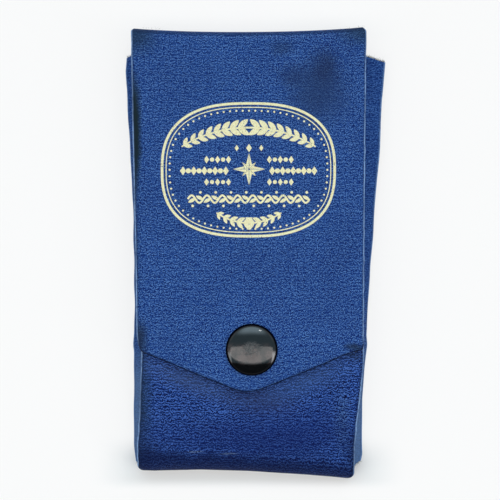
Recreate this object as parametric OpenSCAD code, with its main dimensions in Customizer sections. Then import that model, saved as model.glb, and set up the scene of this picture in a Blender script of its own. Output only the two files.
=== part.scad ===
// Pocket wallet case for drafting instruments. A boarded back, a gusseted front pocket, a
// spine and a pointed flap are covered in one leathercloth sheet, and a press stud shuts it.
// The case lies on its back: X runs across it, Y up to the top fold, Z out of its front.

/* [Case] */
// Width across the top fold
top_w = 69.3; // [64:0.1:76]
// Width across the flap's shoulders
waist_w = 65.6; // [62:0.1:72]
// Width along the bottom crease of the front
base_w = 63.9; // [60:0.1:70]
// Length from the top fold to the bottom crease
body_len = 125.1; // [115:0.1:140]
// How far the waist sits to the right of the top fold's middle
waist_shift = 1; // [-2:0.1:2]
// How far the bottom crease sits to the right of the top fold's middle
base_shift = -0.8; // [-2:0.1:2]
// Slope of the bottom crease, down to the right, in degrees
crease_tilt = 0.8; // [0:0.1:2]
// How far the bottom fold stands past the crease at its left end
base_reach_left = 4.9; // [3.5:0.1:8]
// How far the bottom fold stands past the crease at its right end
base_reach_right = 6.6; // [3.5:0.1:8]

/* [Layers] */
// Thickness of the leathercloth
cloth = 0.45; // [0.35:0.05:0.6]
// Thickness of the boards in the back and the pocket front
board_t = 0.7; // [0.6:0.05:1.2]
// Thickness of the boards in the flap and the spine
flap_board_t = 0.6; // [0.5:0.05:1]
// Thickness of the lining
lining_t = 0.25; // [0.15:0.05:0.4]
// Width of cloth turned in over a board's edge
turn_in_w = 7; // [5:0.5:10]
// Inset of the lining from a turned edge
lining_inset = 2; // [1:0.5:4]

/* [Pocket] */
// Clear height inside the pocket
pocket_room = 4.6; // [4.4:0.1:7]
// Distance from the top fold down to the pocket's mouth
mouth_drop = 9; // [6:0.1:20]
// Radius of the mouth's corners
mouth_r = 1.5; // [0.5:0.1:4]
// Length of soft crease between the bottom fold and the pocket front
crease_gap = 1.2; // [0.6:0.1:2]
// Width of each gusset edge glued to a panel
gusset_lap = 6; // [3:0.5:8]
// Thickness of the gusset cloth
gusset_t = 0.45; // [0.3:0.05:0.6]
// How far the right gusset stands out at the mouth
right_out_mouth = 5.6; // [0.8:0.1:7]
// How far the right gusset stands out at the waist
right_out_waist = 0.8; // [0.6:0.1:4]
// How far the right gusset stands out at the bottom crease
right_out_base = 1.5; // [0.6:0.1:4]
// How far the left gusset stands out at the mouth
left_out_mouth = 1.6; // [0.8:0.1:7]
// How far the left gusset stands out at the waist
left_out_waist = 1.9; // [0.6:0.1:4]
// How far the left gusset stands out at the bottom crease
left_out_base = 1.1; // [0.6:0.1:4]
// Drop of each gusset's cut top edge out to its fold
gusset_slant = 2.1; // [0:0.1:4]

/* [Flap] */
// Distance from the top fold to the flap's shoulders
shoulder_drop = 95.2; // [80:0.1:100]
// Distance from the top fold to where the flap's two slanted edges would meet
tip_drop = 108; // [102:0.1:112]
// How far the flap's tip sits to the right of the top fold's middle
tip_shift = -0.5; // [-3:0.1:3]
// Radius of the flap's tip
tip_r = 12; // [9:0.5:20]
// Radius of the flap's shoulders
shoulder_r = 1.5; // [0.5:0.1:4]
// Gap between the shut flap and the pocket front
flap_gap = 0.5; // [0.4:0.05:1]

/* [Press stud] */
// Distance from the top fold to the press stud's middle
snap_drop = 94.6; // [88:0.1:97]
// How far the press stud sits to the right of the top fold's middle
snap_shift = 0.85; // [-3:0.05:3]
// Diameter of the cap, a 24 ligne size
cap_d = 15.24; // [14.5:0.02:18]
// Height of the cap above the flap
cap_h = 2.9; // [2.4:0.1:4]
// Thickness of the cap's sheet metal
cap_t = 0.35; // [0.3:0.05:0.5]
// Radius of the cap's rolled rim
cap_rim_r = 0.7; // [0.6:0.05:0.9]
// Width of the lip turned under the cap
cap_lip_w = 1.6; // [1.3:0.1:2]
// Thickness of the brass flanges and barrels
brass_t = 0.3; // [0.25:0.05:0.35]
// Diameter of the stud's head
head_d = 4.2; // [4:0.1:4.6]
// Height of the stud above the pocket front
head_h = 1.7; // [1.6:0.05:1.8]
// Diameter of the stud's base
stud_base_d = 8.4; // [8:0.1:10]
// Diameter of the socket
socket_d = 10.4; // [10:0.1:12]
// How far the socket stands out of the flap's inner face
socket_proud = 0.2; // [0.15:0.05:0.25]
// Diameter of the spring's wire
wire_d = 0.3; // [0.25:0.05:0.3]
// Running clearance between the stud's head and the spring
head_gap = 0.15; // [0.12:0.01:0.25]
// Clearance round riveted barrels and set-in flanges
rivet_gap = 0.05; // [0.03:0.01:0.1]

/* [Hidden] */
$fn = 48;

// Corner arcs and the bottom fold's curve are drawn in this many steps
arc_steps = 8;
fold_steps = 14;
dome_steps = 12;
// Cutters run past an open edge by this much
over = 1;
tuck_share = 0.5;

// Heights, from the table up through the shut case
panel_t = cloth + board_t + cloth + lining_t;
flap_t = cloth + flap_board_t + cloth + lining_t;
pocket_in_z = panel_t + pocket_room;
pocket_z = pocket_in_z + panel_t;
flap_in_z = pocket_z + flap_gap;
case_t = flap_in_z + flap_t;
// Radius of the top's two folds, which clears the boards on each side of them
fold_clearance = 0.35;
fold_r = max(flap_t, panel_t) + fold_clearance;

// Stations down the length
fold_y = body_len / 2;
panel_top_y = fold_y - fold_r;
mouth_y = fold_y - mouth_drop;
waist_y = fold_y - shoulder_drop;
tip_y = fold_y - tip_drop;
snap_at = [snap_shift, fold_y - snap_drop];

// The bottom crease at the left end (side -1) and the right end (side 1)
function crease_y(side) = -body_len / 2 - (base_shift + side * base_w / 2) * tan(crease_tilt);
function base_reach(side) = side < 0 ? base_reach_left : base_reach_right;
function lerp(from, to, share) = from + (to - from) * share;

// The body's edge: straight from the top fold to the waist and from there to the crease
function edge_x(side, y) =
    let (top_x = side * top_w / 2, waist_x = waist_shift + side * waist_w / 2)
    let (base_x = base_shift + side * base_w / 2, base_y = crease_y(side))
    y > waist_y ? lerp(waist_x, top_x, (y - waist_y) / (fold_y - waist_y))
                : lerp(base_x, waist_x, (y - base_y) / (waist_y - base_y));
function edge_point(side, y) = [edge_x(side, y), y];

// Outlines run counter-clockwise from their top left corner
function body_outline(top_y, base_gap) = [
    edge_point(-1, top_y), edge_point(-1, waist_y), edge_point(-1, crease_y(-1) + base_gap),
    edge_point(1, crease_y(1) + base_gap), edge_point(1, waist_y), edge_point(1, top_y)
];
back_outline = body_outline(panel_top_y, 0);
pocket_outline = body_outline(mouth_y, crease_gap);
flap_outline = [
    edge_point(-1, panel_top_y), edge_point(-1, waist_y), [tip_shift, tip_y],
    edge_point(1, waist_y), edge_point(1, panel_top_y)
];
spine_outline = [
    [-top_w / 2, case_t - fold_r], [-top_w / 2, fold_r],
    [top_w / 2, fold_r], [top_w / 2, case_t - fold_r]
];

// Which edges are turned in, edge by edge from the first point; the others are creases
back_turned = [true, true, false, true, true, false];
pocket_turned = [true, true, false, true, true, true];
flap_turned = [true, true, true, true, false];
spine_turned = [true, false, true, false];

// Corner radii, point by point
back_radii = [0, 0, 0, 0, 0, 0];
pocket_radii = [mouth_r, 0, 0, 0, 0, mouth_r];
flap_radii = [0, shoulder_r, tip_r, shoulder_r, 0];
spine_radii = [0, 0, 0, 0];

function unit(v) = v / norm(v);
function left_of(v) = [-v[1], v[0]];
function at(list, i) = list[(i + len(list)) % len(list)];

// A corner where its two edges have moved inwards by their own depths
function inset_corner(before, here, after, depth_in, depth_out) =
    let (n_in = left_of(unit(here - before)), n_out = left_of(unit(after - here)))
    let (turn = cross(n_in, n_out))
    abs(turn) < 0.001 ? here + n_in * depth_in
    : here + [depth_in * n_out[1] - depth_out * n_in[1],
              depth_out * n_in[0] - depth_in * n_out[0]] / turn;
function inset(points, depths) = [
    for (i = [0 : len(points) - 1])
        inset_corner(at(points, i - 1), points[i], at(points, i + 1), at(depths, i - 1), depths[i])
];
function edge_depths(turned, at_turned, at_crease) =
    [for (is_turned = turned) is_turned ? at_turned : at_crease];

// A corner rounded to a radius, as points along its arc
function corner_arc(before, here, after, radius) =
    let (back = unit(before - here), on = unit(after - here))
    let (half = acos(back * on) / 2, centre = here + unit(back + on) * radius / sin(half))
    let (start = here + back * radius / tan(half) - centre)
    let (sweep = (180 - 2 * half) * sign(cross(here - before, after - here)))
    [for (k = [0 : arc_steps])
        let (turn = sweep * k / arc_steps)
        centre + [start[0] * cos(turn) - start[1] * sin(turn),
                  start[0] * sin(turn) + start[1] * cos(turn)]];
function rounded(points, radii) = [
    for (i = [0 : len(points) - 1])
        each radii[i] > 0 ? corner_arc(at(points, i - 1), points[i], at(points, i + 1), radii[i])
                          : [points[i]]
];
function less(radii, depth) = [for (r = radii) max(r - depth, 0)];

// A flat layer between two heights
module layer(outline, low, high) {
    translate([0, 0, low]) linear_extrude(high - low) polygon(outline);
}

// Places a panel that was laid with its outer face at z = 0 and its lining up
module on_front(outer_z) {
    translate([0, 0, outer_z]) mirror([0, 0, 1]) children();
}
module on_spine() {
    translate([0, fold_y, 0]) rotate([90, 0, 0]) children();
}
module at_snap(height) {
    translate([snap_at[0], snap_at[1], height]) children();
}

// Leathercloth over a board: outer face, turned edges and the cloth turned in over the board
module panel_cover(outline, radii, turned, board) {
    board_hole = inset(outline, edge_depths(turned, cloth, -over));
    window = inset(outline, edge_depths(turned, turn_in_w, -over));
    difference() {
        layer(rounded(outline, radii), 0, cloth + board + cloth);
        layer(rounded(board_hole, less(radii, cloth)), cloth, cloth + board);
        layer(rounded(window, less(radii, turn_in_w)), cloth + board / 2, cloth + board + cloth + over);
    }
}

module panel_board(outline, radii, turned, board) {
    layer(rounded(inset(outline, edge_depths(turned, cloth, 0)), less(radii, cloth)),
          cloth, cloth + board);
}

// The lining fills the window that the turned-in cloth leaves, just short of a crease, and
// laps over that cloth
module panel_lining(outline, radii, turned, board) {
    window = inset(outline, edge_depths(turned, turn_in_w, fold_clearance));
    sheet = inset(outline, edge_depths(turned, lining_inset, 0));
    board_z = cloth + board;
    union() {
        layer(rounded(window, less(radii, turn_in_w)), board_z, board_z + cloth + lining_t);
        layer(rounded(sheet, less(radii, lining_inset)), board_z + cloth, board_z + cloth + lining_t);
    }
}

// A closed solid between two skins, each given as rows of points
module between_skins(outer, inner) {
    rows = len(outer);
    cols = len(outer[0]);
    count = rows * cols;
    function quad(a, b, c, d) = [[a, b, c], [a, c, d]];
    function outer_at(row, col) = row * cols + col;
    function inner_at(row, col) = count + row * cols + col;
    faces = [
        for (row = [0 : rows - 2], col = [0 : cols - 2])
            each quad(outer_at(row, col), outer_at(row, col + 1),
                      outer_at(row + 1, col + 1), outer_at(row + 1, col)),
        for (row = [0 : rows - 2], col = [0 : cols - 2])
            each quad(inner_at(row, col), inner_at(row + 1, col),
                      inner_at(row + 1, col + 1), inner_at(row, col + 1)),
        for (row = [0 : rows - 2], end = [0, 1])
            let (col = end * (cols - 1), a = row + end, b = row + 1 - end)
            each quad(outer_at(a, col), outer_at(b, col), inner_at(b, col), inner_at(a, col)),
        for (col = [0 : cols - 2], end = [0, 1])
            let (row = end * (rows - 1), a = col + 1 - end, b = col + end)
            each quad(outer_at(row, a), outer_at(row, b), inner_at(row, b), inner_at(row, a))
    ];
    polyhedron(points = concat([for (row = outer) each row], [for (row = inner) each row]),
               faces = faces);
}

// One skin of the bottom fold: half an ellipse at each end, some depth under the outer skin
function base_skin(depth) = [
    for (side = [-1, 1])
        let (y = crease_y(side), x = edge_x(side, y), mid_z = pocket_z / 2)
        [for (k = [0 : fold_steps])
            let (turn = 180 * k / fold_steps)
            [x, y - (base_reach(side) - depth) * sin(turn), mid_z + (mid_z - depth) * cos(turn)]]
];

// A cloth fold along the top: a quarter tube that meets a panel's cloth at each end
module quarter_fold(centre_z, turn) {
    translate([0, fold_y - fold_r, centre_z]) rotate([turn, 0, 0]) rotate([0, 90, 0])
        translate([0, 0, -top_w / 2]) intersection() {
            difference() {
                cylinder(r = fold_r, h = top_w);
                translate([0, 0, -over]) cylinder(r = fold_r - cloth, h = top_w + 2 * over);
            }
            translate([0, 0, -over]) cube([2 * fold_r, 2 * fold_r, top_w + 2 * over]);
        }
}

// A gusset's path at one station: lap, panel edge, outer fold, panel edge, lap
function gusset_row(side, y, out, fold_drop, depth) =
    let (edge = edge_x(side, y), lap_x = edge - side * gusset_lap)
    let (low_z = panel_t + depth, high_z = pocket_in_z - depth, mid_z = (low_z + high_z) / 2)
    [[lap_x, y, low_z], [edge, y, low_z], [edge + side * (out - depth), y - fold_drop, mid_z],
     [edge, y, high_z], [lap_x, y, high_z]];
// Each gusset runs down into the bottom fold by a share of the room inside that fold
function gusset_tuck(side) = tuck_share * (base_reach(side) - cloth - lining_t);
function gusset_skin(side, outs, depth) =
    let (rows = [
        gusset_row(side, mouth_y, outs[0], gusset_slant, depth),
        gusset_row(side, waist_y, outs[1], 0, depth),
        gusset_row(side, crease_y(side) + crease_gap, outs[2], 0, depth),
        gusset_row(side, crease_y(side) - gusset_tuck(side), outs[2], 0, depth)
    ])
    side < 0 ? rows : [for (row = rows) [for (k = [len(row) - 1 : -1 : 0]) row[k]]];
module gusset(side, outs) {
    between_skins(gusset_skin(side, outs, 0), gusset_skin(side, outs, gusset_t));
}

// Press stud heights: the flap board's inner face and the socket that ends there
board_in_z = flap_in_z + lining_t + cloth;
socket_z = flap_in_z - socket_proud;
socket_h = board_in_z - socket_z;
plate_t = 0.2;
roll_t = 0.15;
// Press stud radii, from the stud's head outwards
head_undercut = 0.35;
step_r = 0.1;
cap_r = cap_d / 2;
head_r = head_d / 2;
neck_r = head_r - head_undercut;
spring_r = head_r + head_gap;
socket_hole_r = spring_r + step_r;
barrel_in_r = socket_hole_r + step_r / 2;
barrel_r = barrel_in_r + brass_t;
roll_w = 0.5;
chamber_r = barrel_r + roll_w + step_r;
flange_gap = 0.5;
// The eyelet that holds the stud
post_r = 1.2;
post_wall = 0.25;
post_roll = 0.2;
post_bore_r = post_r - post_wall;
post_flange_r = stud_base_d / 2 - flange_gap;
stud_top_t = 0.3;
stud_chamber_h = 0.5;

function dome(radius, low, high) =
    let (rise = high - low, bend = (radius * radius + rise * rise) / (2 * rise))
    let (span = asin(radius / bend))
    [for (k = [0 : dome_steps])
        let (turn = span * (1 - k / dome_steps))
        [bend * sin(turn), high - bend + bend * cos(turn)]];
function rim(radius, height) =
    [for (k = [0 : arc_steps])
        let (turn = -90 + 90 * k / arc_steps)
        [radius - height + height * cos(turn), height + height * sin(turn)]];

module back_cover() {
    color("#24458a") panel_cover(back_outline, back_radii, back_turned, board_t);
}

module back_board() {
    color("#8a7a5c") panel_board(back_outline, back_radii, back_turned, board_t);
}

module back_lining() {
    color("#31486f") panel_lining(back_outline, back_radii, back_turned, board_t);
}

module base_cover() {
    color("#1b356f") between_skins(base_skin(cloth), base_skin(0));
}

module base_lining() {
    color("#31486f") between_skins(base_skin(cloth + lining_t), base_skin(cloth));
}

// The soft crease along which the pocket front swings
module base_crease() {
    strip = [
        edge_point(-1, crease_y(-1) + crease_gap), edge_point(-1, crease_y(-1)),
        edge_point(1, crease_y(1)), edge_point(1, crease_y(1) + crease_gap)
    ];
    color("#1b356f") layer(strip, pocket_z - cloth, pocket_z);
}

module left_gusset() {
    color("#3d5a8c") gusset(-1, [left_out_mouth, left_out_waist, left_out_base]);
}

module right_gusset() {
    color("#3d5a8c") gusset(1, [right_out_mouth, right_out_waist, right_out_base]);
}

module pocket_cover() {
    color("#22407f") difference() {
        on_front(pocket_z) panel_cover(pocket_outline, pocket_radii, pocket_turned, board_t);
        at_snap(pocket_z - cloth) cylinder(d = stud_base_d + 2 * rivet_gap, h = cloth + over);
    }
}

module pocket_board() {
    color("#8a7a5c") difference() {
        on_front(pocket_z) panel_board(pocket_outline, pocket_radii, pocket_turned, board_t);
        at_snap(pocket_in_z) cylinder(r = post_r + rivet_gap, h = panel_t);
    }
}

module pocket_lining() {
    seat_z = pocket_z - cloth - board_t - brass_t;
    color("#31486f") difference() {
        on_front(pocket_z) panel_lining(pocket_outline, pocket_radii, pocket_turned, board_t);
        at_snap(seat_z) cylinder(r = post_flange_r + rivet_gap, h = panel_t);
    }
}

// The cloth fold between the back and the spine
module lower_fold() {
    color("#24458a") quarter_fold(fold_r, 0);
}

module spine_cover() {
    color("#24458a") on_spine() panel_cover(spine_outline, spine_radii, spine_turned, flap_board_t);
}

module spine_board() {
    color("#8a7a5c") on_spine() panel_board(spine_outline, spine_radii, spine_turned, flap_board_t);
}

module spine_lining() {
    color("#31486f") on_spine() panel_lining(spine_outline, spine_radii, spine_turned, flap_board_t);
}

// The cloth fold between the spine and the flap
module upper_fold() {
    color("#24458a") quarter_fold(case_t - fold_r, 90);
}

module flap_cover() {
    color("#2e5191") difference() {
        on_front(case_t) panel_cover(flap_outline, flap_radii, flap_turned, flap_board_t);
        at_snap(flap_in_z) cylinder(r = barrel_r + rivet_gap, h = flap_t + over);
        at_snap(flap_in_z - over) cylinder(d = socket_d + 2 * rivet_gap, h = over + lining_t + cloth);
    }
}

module flap_board() {
    color("#8a7a5c") difference() {
        on_front(case_t) panel_board(flap_outline, flap_radii, flap_turned, flap_board_t);
        at_snap(flap_in_z) cylinder(r = barrel_r + rivet_gap, h = flap_t);
    }
}

module flap_lining() {
    color("#31486f") difference() {
        on_front(case_t) panel_lining(flap_outline, flap_radii, flap_turned, flap_board_t);
        at_snap(flap_in_z - over) cylinder(d = socket_d + 2 * rivet_gap, h = flap_t + over);
    }
}

// The black dome, with its rim rolled and turned under
module snap_cap() {
    lip_r = cap_r - cap_lip_w;
    inner = dome(cap_r - cap_t, cap_rim_r, cap_h - cap_t);
    profile = concat([[lip_r, 0]], rim(cap_r, cap_rim_r), dome(cap_r, cap_rim_r, cap_h),
                     [for (k = [len(inner) - 1 : -1 : 0]) inner[k]],
                     [[cap_r - cap_t, cap_t], [lip_r, cap_t]]);
    color("#15171a") at_snap(case_t) rotate_extrude() polygon(profile);
}

// The flange held in the cap, and the barrel that passes through the flap and is rolled over
module cap_post() {
    flange_r = cap_r - cap_t - flange_gap;
    flange_z = case_t + cap_t;
    end_z = board_in_z - plate_t - roll_t;
    profile = [
        [barrel_in_r, end_z], [barrel_r + roll_w, end_z], [barrel_r + roll_w, end_z + roll_t],
        [barrel_r, end_z + roll_t], [barrel_r, flange_z], [flange_r, flange_z],
        [flange_r, flange_z + brass_t], [barrel_in_r, flange_z + brass_t]
    ];
    color("#b08d4a") at_snap(0) rotate_extrude() polygon(profile);
}

module snap_socket() {
    out_r = socket_d / 2;
    hub_r = chamber_r + brass_t;
    profile = [
        [socket_hole_r, 0], [hub_r, 0], [hub_r, socket_h - brass_t], [out_r, socket_h - brass_t],
        [out_r, socket_h], [barrel_r + rivet_gap, socket_h],
        [barrel_r + rivet_gap, socket_h - plate_t], [chamber_r, socket_h - plate_t],
        [chamber_r, plate_t], [socket_hole_r, plate_t]
    ];
    color("#b08d4a") at_snap(socket_z) rotate_extrude() polygon(profile);
}

// The sprung ring that grips under the stud's head, with its gap towards the flap's tip
module socket_spring() {
    open_angle = 30;
    color("#c8ccd0") at_snap(socket_z + plate_t + wire_d / 2)
        rotate([0, 0, open_angle / 2 - 90])
            rotate_extrude(angle = 360 - open_angle)
                translate([spring_r + wire_d / 2, 0]) circle(d = wire_d, $fn = 16);
}

module snap_stud() {
    base_r = stud_base_d / 2;
    bore_r = post_r + rivet_gap;
    roll_r = post_r + post_roll + rivet_gap;
    bevel = head_undercut * 0.75;
    roof_z = head_h - stud_top_t;
    floor_z = roof_z - stud_chamber_h;
    profile = [
        [bore_r, -cloth], [base_r, -cloth], [base_r, -step_r], [base_r - step_r, 0], [neck_r, 0],
        [neck_r, floor_z], [head_r, floor_z + bevel], [head_r, head_h - bevel],
        [head_r - bevel, head_h], [0, head_h], [0, roof_z], [roll_r, roof_z],
        [roll_r, floor_z], [bore_r, floor_z - post_roll]
    ];
    color("#b08d4a") at_snap(pocket_z) rotate_extrude() polygon(profile);
}

// The eyelet under the pocket's board, its barrel rolled over inside the stud
module stud_post() {
    seat_z = -cloth - board_t;
    roll_z = head_h - stud_top_t - stud_chamber_h;
    profile = [
        [post_bore_r, seat_z - brass_t], [post_flange_r, seat_z - brass_t],
        [post_flange_r, seat_z], [post_r, seat_z], [post_r, roll_z],
        [post_r + post_roll, roll_z + step_r], [post_r, roll_z + 2 * step_r],
        [post_bore_r, roll_z + step_r]
    ];
    color("#b08d4a") at_snap(pocket_z) rotate_extrude() polygon(profile);
}

back_cover();
back_board();
back_lining();
base_cover();
base_lining();
base_crease();
left_gusset();
right_gusset();
pocket_cover();
pocket_board();
pocket_lining();
lower_fold();
spine_cover();
spine_board();
spine_lining();
upper_fold();
flap_cover();
flap_board();
flap_lining();
snap_cap();
cap_post();
snap_socket();
socket_spring();
snap_stud();
stud_post();
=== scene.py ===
"""Looks of a pocket wallet case for drafting instruments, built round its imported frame.

The case lies shut on its back: X runs across it, Y up to the top fold and Z out of its front.
Shapes are worked out in millimetres and turned to metres when a mesh is made. Cloth is laid out
flat first, as x across it, run down its length and depth under its outer face, and is then
wrapped round the folds.
"""

from __future__ import annotations

import logging
from collections.abc import Callable, Mapping, Sequence
from dataclasses import dataclass, field, replace
from enum import Enum
from typing import Any

import bpy
import numpy as np
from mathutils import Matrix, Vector

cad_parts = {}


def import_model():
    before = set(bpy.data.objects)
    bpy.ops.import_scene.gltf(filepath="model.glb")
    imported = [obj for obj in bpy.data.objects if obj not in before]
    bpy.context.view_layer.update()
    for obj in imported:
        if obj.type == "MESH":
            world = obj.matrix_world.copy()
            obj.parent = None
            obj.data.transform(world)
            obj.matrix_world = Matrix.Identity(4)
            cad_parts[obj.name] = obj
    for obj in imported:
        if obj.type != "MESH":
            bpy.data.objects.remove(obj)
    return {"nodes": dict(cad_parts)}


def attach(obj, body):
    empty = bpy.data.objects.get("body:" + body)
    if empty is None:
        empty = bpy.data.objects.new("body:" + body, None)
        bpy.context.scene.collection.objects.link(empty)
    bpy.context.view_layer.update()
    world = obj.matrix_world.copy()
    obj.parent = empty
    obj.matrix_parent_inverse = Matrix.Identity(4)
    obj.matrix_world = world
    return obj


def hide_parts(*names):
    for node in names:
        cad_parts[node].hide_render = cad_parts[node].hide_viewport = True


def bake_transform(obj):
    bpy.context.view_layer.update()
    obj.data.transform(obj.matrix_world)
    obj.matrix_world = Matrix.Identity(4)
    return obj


Array = np.ndarray
Place = Callable[[Array], Array]
Point = tuple[float, float, float]
Pair = tuple[float, float]
Line = tuple[Pair, ...]
Piece = bpy.types.Object
Material = bpy.types.Material

LOG = logging.getLogger("wallet")
MM = 0.001

ARC_STEPS = 8
LEAST_RADIUS = 0.03
LEAST_SHARE = 0.96
SHARP_ANGLE = np.radians(50)
ON_AXIS = 1e-6


# ---- small maths


def smooth(value: Array, low: float, high: float) -> Array:
    """Smooth step: 0 at low, 1 at high, 3t^2 - 2t^3 in between; low may be above high."""
    share = np.clip((value - low) / (high - low), 0, 1)
    return share * share * (3 - 2 * share)


@dataclass(frozen=True)
class Wave:
    """Gentle unevenness of one height and about one length, in mm; the seed fixes its lie."""

    height: float
    length: float
    seed: int
    count: int = 7

    def at(self, x: Array, y: Array) -> Array:
        """The height times the mean of sine waves of mixed lengths, directions and phases.

        Args:
            x: places across, in mm.
            y: places along, in mm.

        Returns:
            The rise at each place, in mm.
        """
        draw = np.random.default_rng(self.seed)
        turn = draw.uniform(0, 2 * np.pi, self.count)
        pitch = 2 * np.pi / (self.length * draw.uniform(0.7, 1.6, self.count))
        phase = draw.uniform(0, 2 * np.pi, self.count)
        along = np.multiply.outer(x, np.cos(turn) * pitch) + np.multiply.outer(y, np.sin(turn) * pitch)
        return self.height * (np.sin(along + phase).sum(-1) / np.sqrt(self.count))


def lengths(points: Array) -> Array:
    """Share of a polyline's length, 0 to 1, at each of its points, (N, D)."""
    total = np.concatenate(([0.0], np.cumsum(np.linalg.norm(np.diff(points, axis=0), axis=1))))
    return total / total[-1]


# ---- shader graphs


def linear(hex_colour: str) -> tuple[float, float, float, float]:
    """The linear RGBA of an sRGB colour written as #rrggbb.

    Args:
        hex_colour: the colour.

    Returns:
        Its red, green, blue and 1.
    """
    parts = np.array([int(hex_colour[k : k + 2], 16) for k in (1, 3, 5)]) / 255
    low = parts / 12.92
    high = ((parts + 0.055) / 1.055) ** 2.4
    red, green, blue = np.where(parts <= 0.04045, low, high)
    return float(red), float(green), float(blue), 1.0


class Term:
    """A node's output in a shader expression, with the operators that the materials use."""

    def __init__(self, graph: Graph, socket: bpy.types.NodeSocket) -> None:
        """Keeps the graph that new nodes go into and the socket."""
        self.graph = graph
        self.socket = socket

    def math(self, operation: str, *others: Term | float) -> Term:
        """One Math node with this term first."""
        inputs = dict(enumerate((self, *others)))
        return self.graph.node("ShaderNodeMath", inputs, operation=operation)

    def __add__(self, other: Term | float) -> Term:
        """self + other."""
        return self.math("ADD", other)

    __radd__ = __add__

    def __sub__(self, other: Term | float) -> Term:
        """self - other."""
        return self.math("SUBTRACT", other)

    def __rsub__(self, other: float) -> Term:
        """other - self."""
        return self.graph.node("ShaderNodeMath", {0: other, 1: self}, operation="SUBTRACT")

    def __mul__(self, other: Term | float) -> Term:
        """self * other."""
        return self.math("MULTIPLY", other)

    __rmul__ = __mul__

    def __abs__(self) -> Term:
        """The size of self."""
        return self.math("ABSOLUTE")

    def least(self, other: Term | float) -> Term:
        """The smaller of the two."""
        return self.math("MINIMUM", other)

    def most(self, other: Term | float) -> Term:
        """The larger of the two."""
        return self.math("MAXIMUM", other)

    def step(self, low: float, high: float) -> Term:
        """Smooth step from 0 at low to 1 at high; low may be above high."""
        inputs = {"Value": self, "From Min": low, "From Max": high}
        return self.graph.node("ShaderNodeMapRange", inputs, interpolation_type="SMOOTHSTEP")


class Graph:
    """The node graph of one material, or of the surroundings."""

    def __init__(self, name: str, world: bool = False) -> None:
        """Starts an empty material of that name, or an empty world.

        Args:
            name: the material's or the world's name.
            world: whether it is a world.
        """
        self.owner = (bpy.data.worlds if world else bpy.data.materials).new(name)
        self.owner.use_nodes = True
        self.tree = self.owner.node_tree
        self.tree.nodes.clear()
        self.output = "ShaderNodeOutputWorld" if world else "ShaderNodeOutputMaterial"

    def node(
        self, kind: str, inputs: Mapping[str | int, Any] | None = None, output: int = 0, **settings: Any
    ) -> Term:
        """Adds one node.

        Args:
            kind: the node's type.
            inputs: each socket's name or number, and its value or the Term to link.
            output: the number of the output that is wanted.
            settings: the node's own settings, set before its sockets.

        Returns:
            That output.
        """
        made = self.tree.nodes.new(kind)
        for key, value in settings.items():
            setattr(made, key, value)
        for key, value in (inputs or {}).items():
            if isinstance(value, Term):
                self.tree.links.new(value.socket, made.inputs[key])
            else:
                made.inputs[key].default_value = value
        return Term(self, made.outputs[output])

    def attribute(self, name: str, output: int = 2) -> Term:
        """A mesh attribute: output 1 is its vector and 2 its number."""
        return self.node("ShaderNodeAttribute", output=output, attribute_name=name)

    def scaled(self, vector: Term, by: Point) -> Term:
        """A vector with each part multiplied."""
        return self.node("ShaderNodeVectorMath", {0: vector, 1: by}, operation="MULTIPLY")

    def moved(self, vector: Term, by: Term | Point) -> Term:
        """A vector plus another."""
        return self.node("ShaderNodeVectorMath", {0: vector, 1: by}, operation="ADD")

    def parts(self, vector: Term) -> list[Term]:
        """The x, y and z of a vector."""
        made = self.node("ShaderNodeSeparateXYZ", {0: vector}).socket.node
        return [Term(self, output) for output in made.outputs]

    def here_mm(self) -> Term:
        """The object coordinates, in mm."""
        return self.scaled(self.node("ShaderNodeTexCoord", output=3), (1 / MM,) * 3)

    def length(self, vector: Term) -> Term:
        """A vector's length."""
        return self.node("ShaderNodeVectorMath", {0: vector}, output=1, operation="LENGTH")

    def noise(self, vector: Term, scale: float, detail: float = 2, rough: float = 0.5) -> Term:
        """Noise, about 0.5 on average, at scale features to a unit of the vector."""
        inputs = {"Vector": vector, "Scale": scale, "Detail": detail, "Roughness": rough}
        return self.node("ShaderNodeTexNoise", inputs)

    def noise_vector(self, vector: Term, scale: float, amount: float) -> Term:
        """A vector shifted at random by about amount, with scale noise features to a unit of it."""
        made = self.node("ShaderNodeTexNoise", {"Vector": vector, "Scale": scale, "Detail": 2.0}, output=1)
        return self.moved(vector, self.scaled(self.moved(made, (-0.5,) * 3), (2 * amount,) * 3))

    def mix(self, share: Term | float, first: Term | str, second: Term | str) -> Term:
        """The colour that is first where share is 0 and second where it is 1."""
        ends = [c if isinstance(c, Term) else linear(c) for c in (first, second)]
        return self.node("ShaderNodeMix", {0: share, 6: ends[0], 7: ends[1]}, output=2, data_type="RGBA")

    def bump(self, height: Term, distance_mm: float) -> Term:
        """The normal of a surface whose height runs 0 to 1 over that distance."""
        inputs = {"Height": height, "Distance": distance_mm * MM, "Strength": 1.0}
        return self.node("ShaderNodeBump", inputs)

    def surface(self, **sockets: Any) -> Material:
        """Ends the graph in a Principled shader, whose sockets are named with _ for a space."""
        inputs = {key.replace("_", " "): value for key, value in sockets.items()}
        return self.end(self.node("ShaderNodeBsdfPrincipled", inputs))

    def end(self, shader: Term) -> Any:
        """Links the shader to the output, and returns the material or the world that owns the graph."""
        self.tree.links.new(shader.socket, self.tree.nodes.new(self.output).inputs[0])
        return self.owner


# ---- meshes


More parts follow.
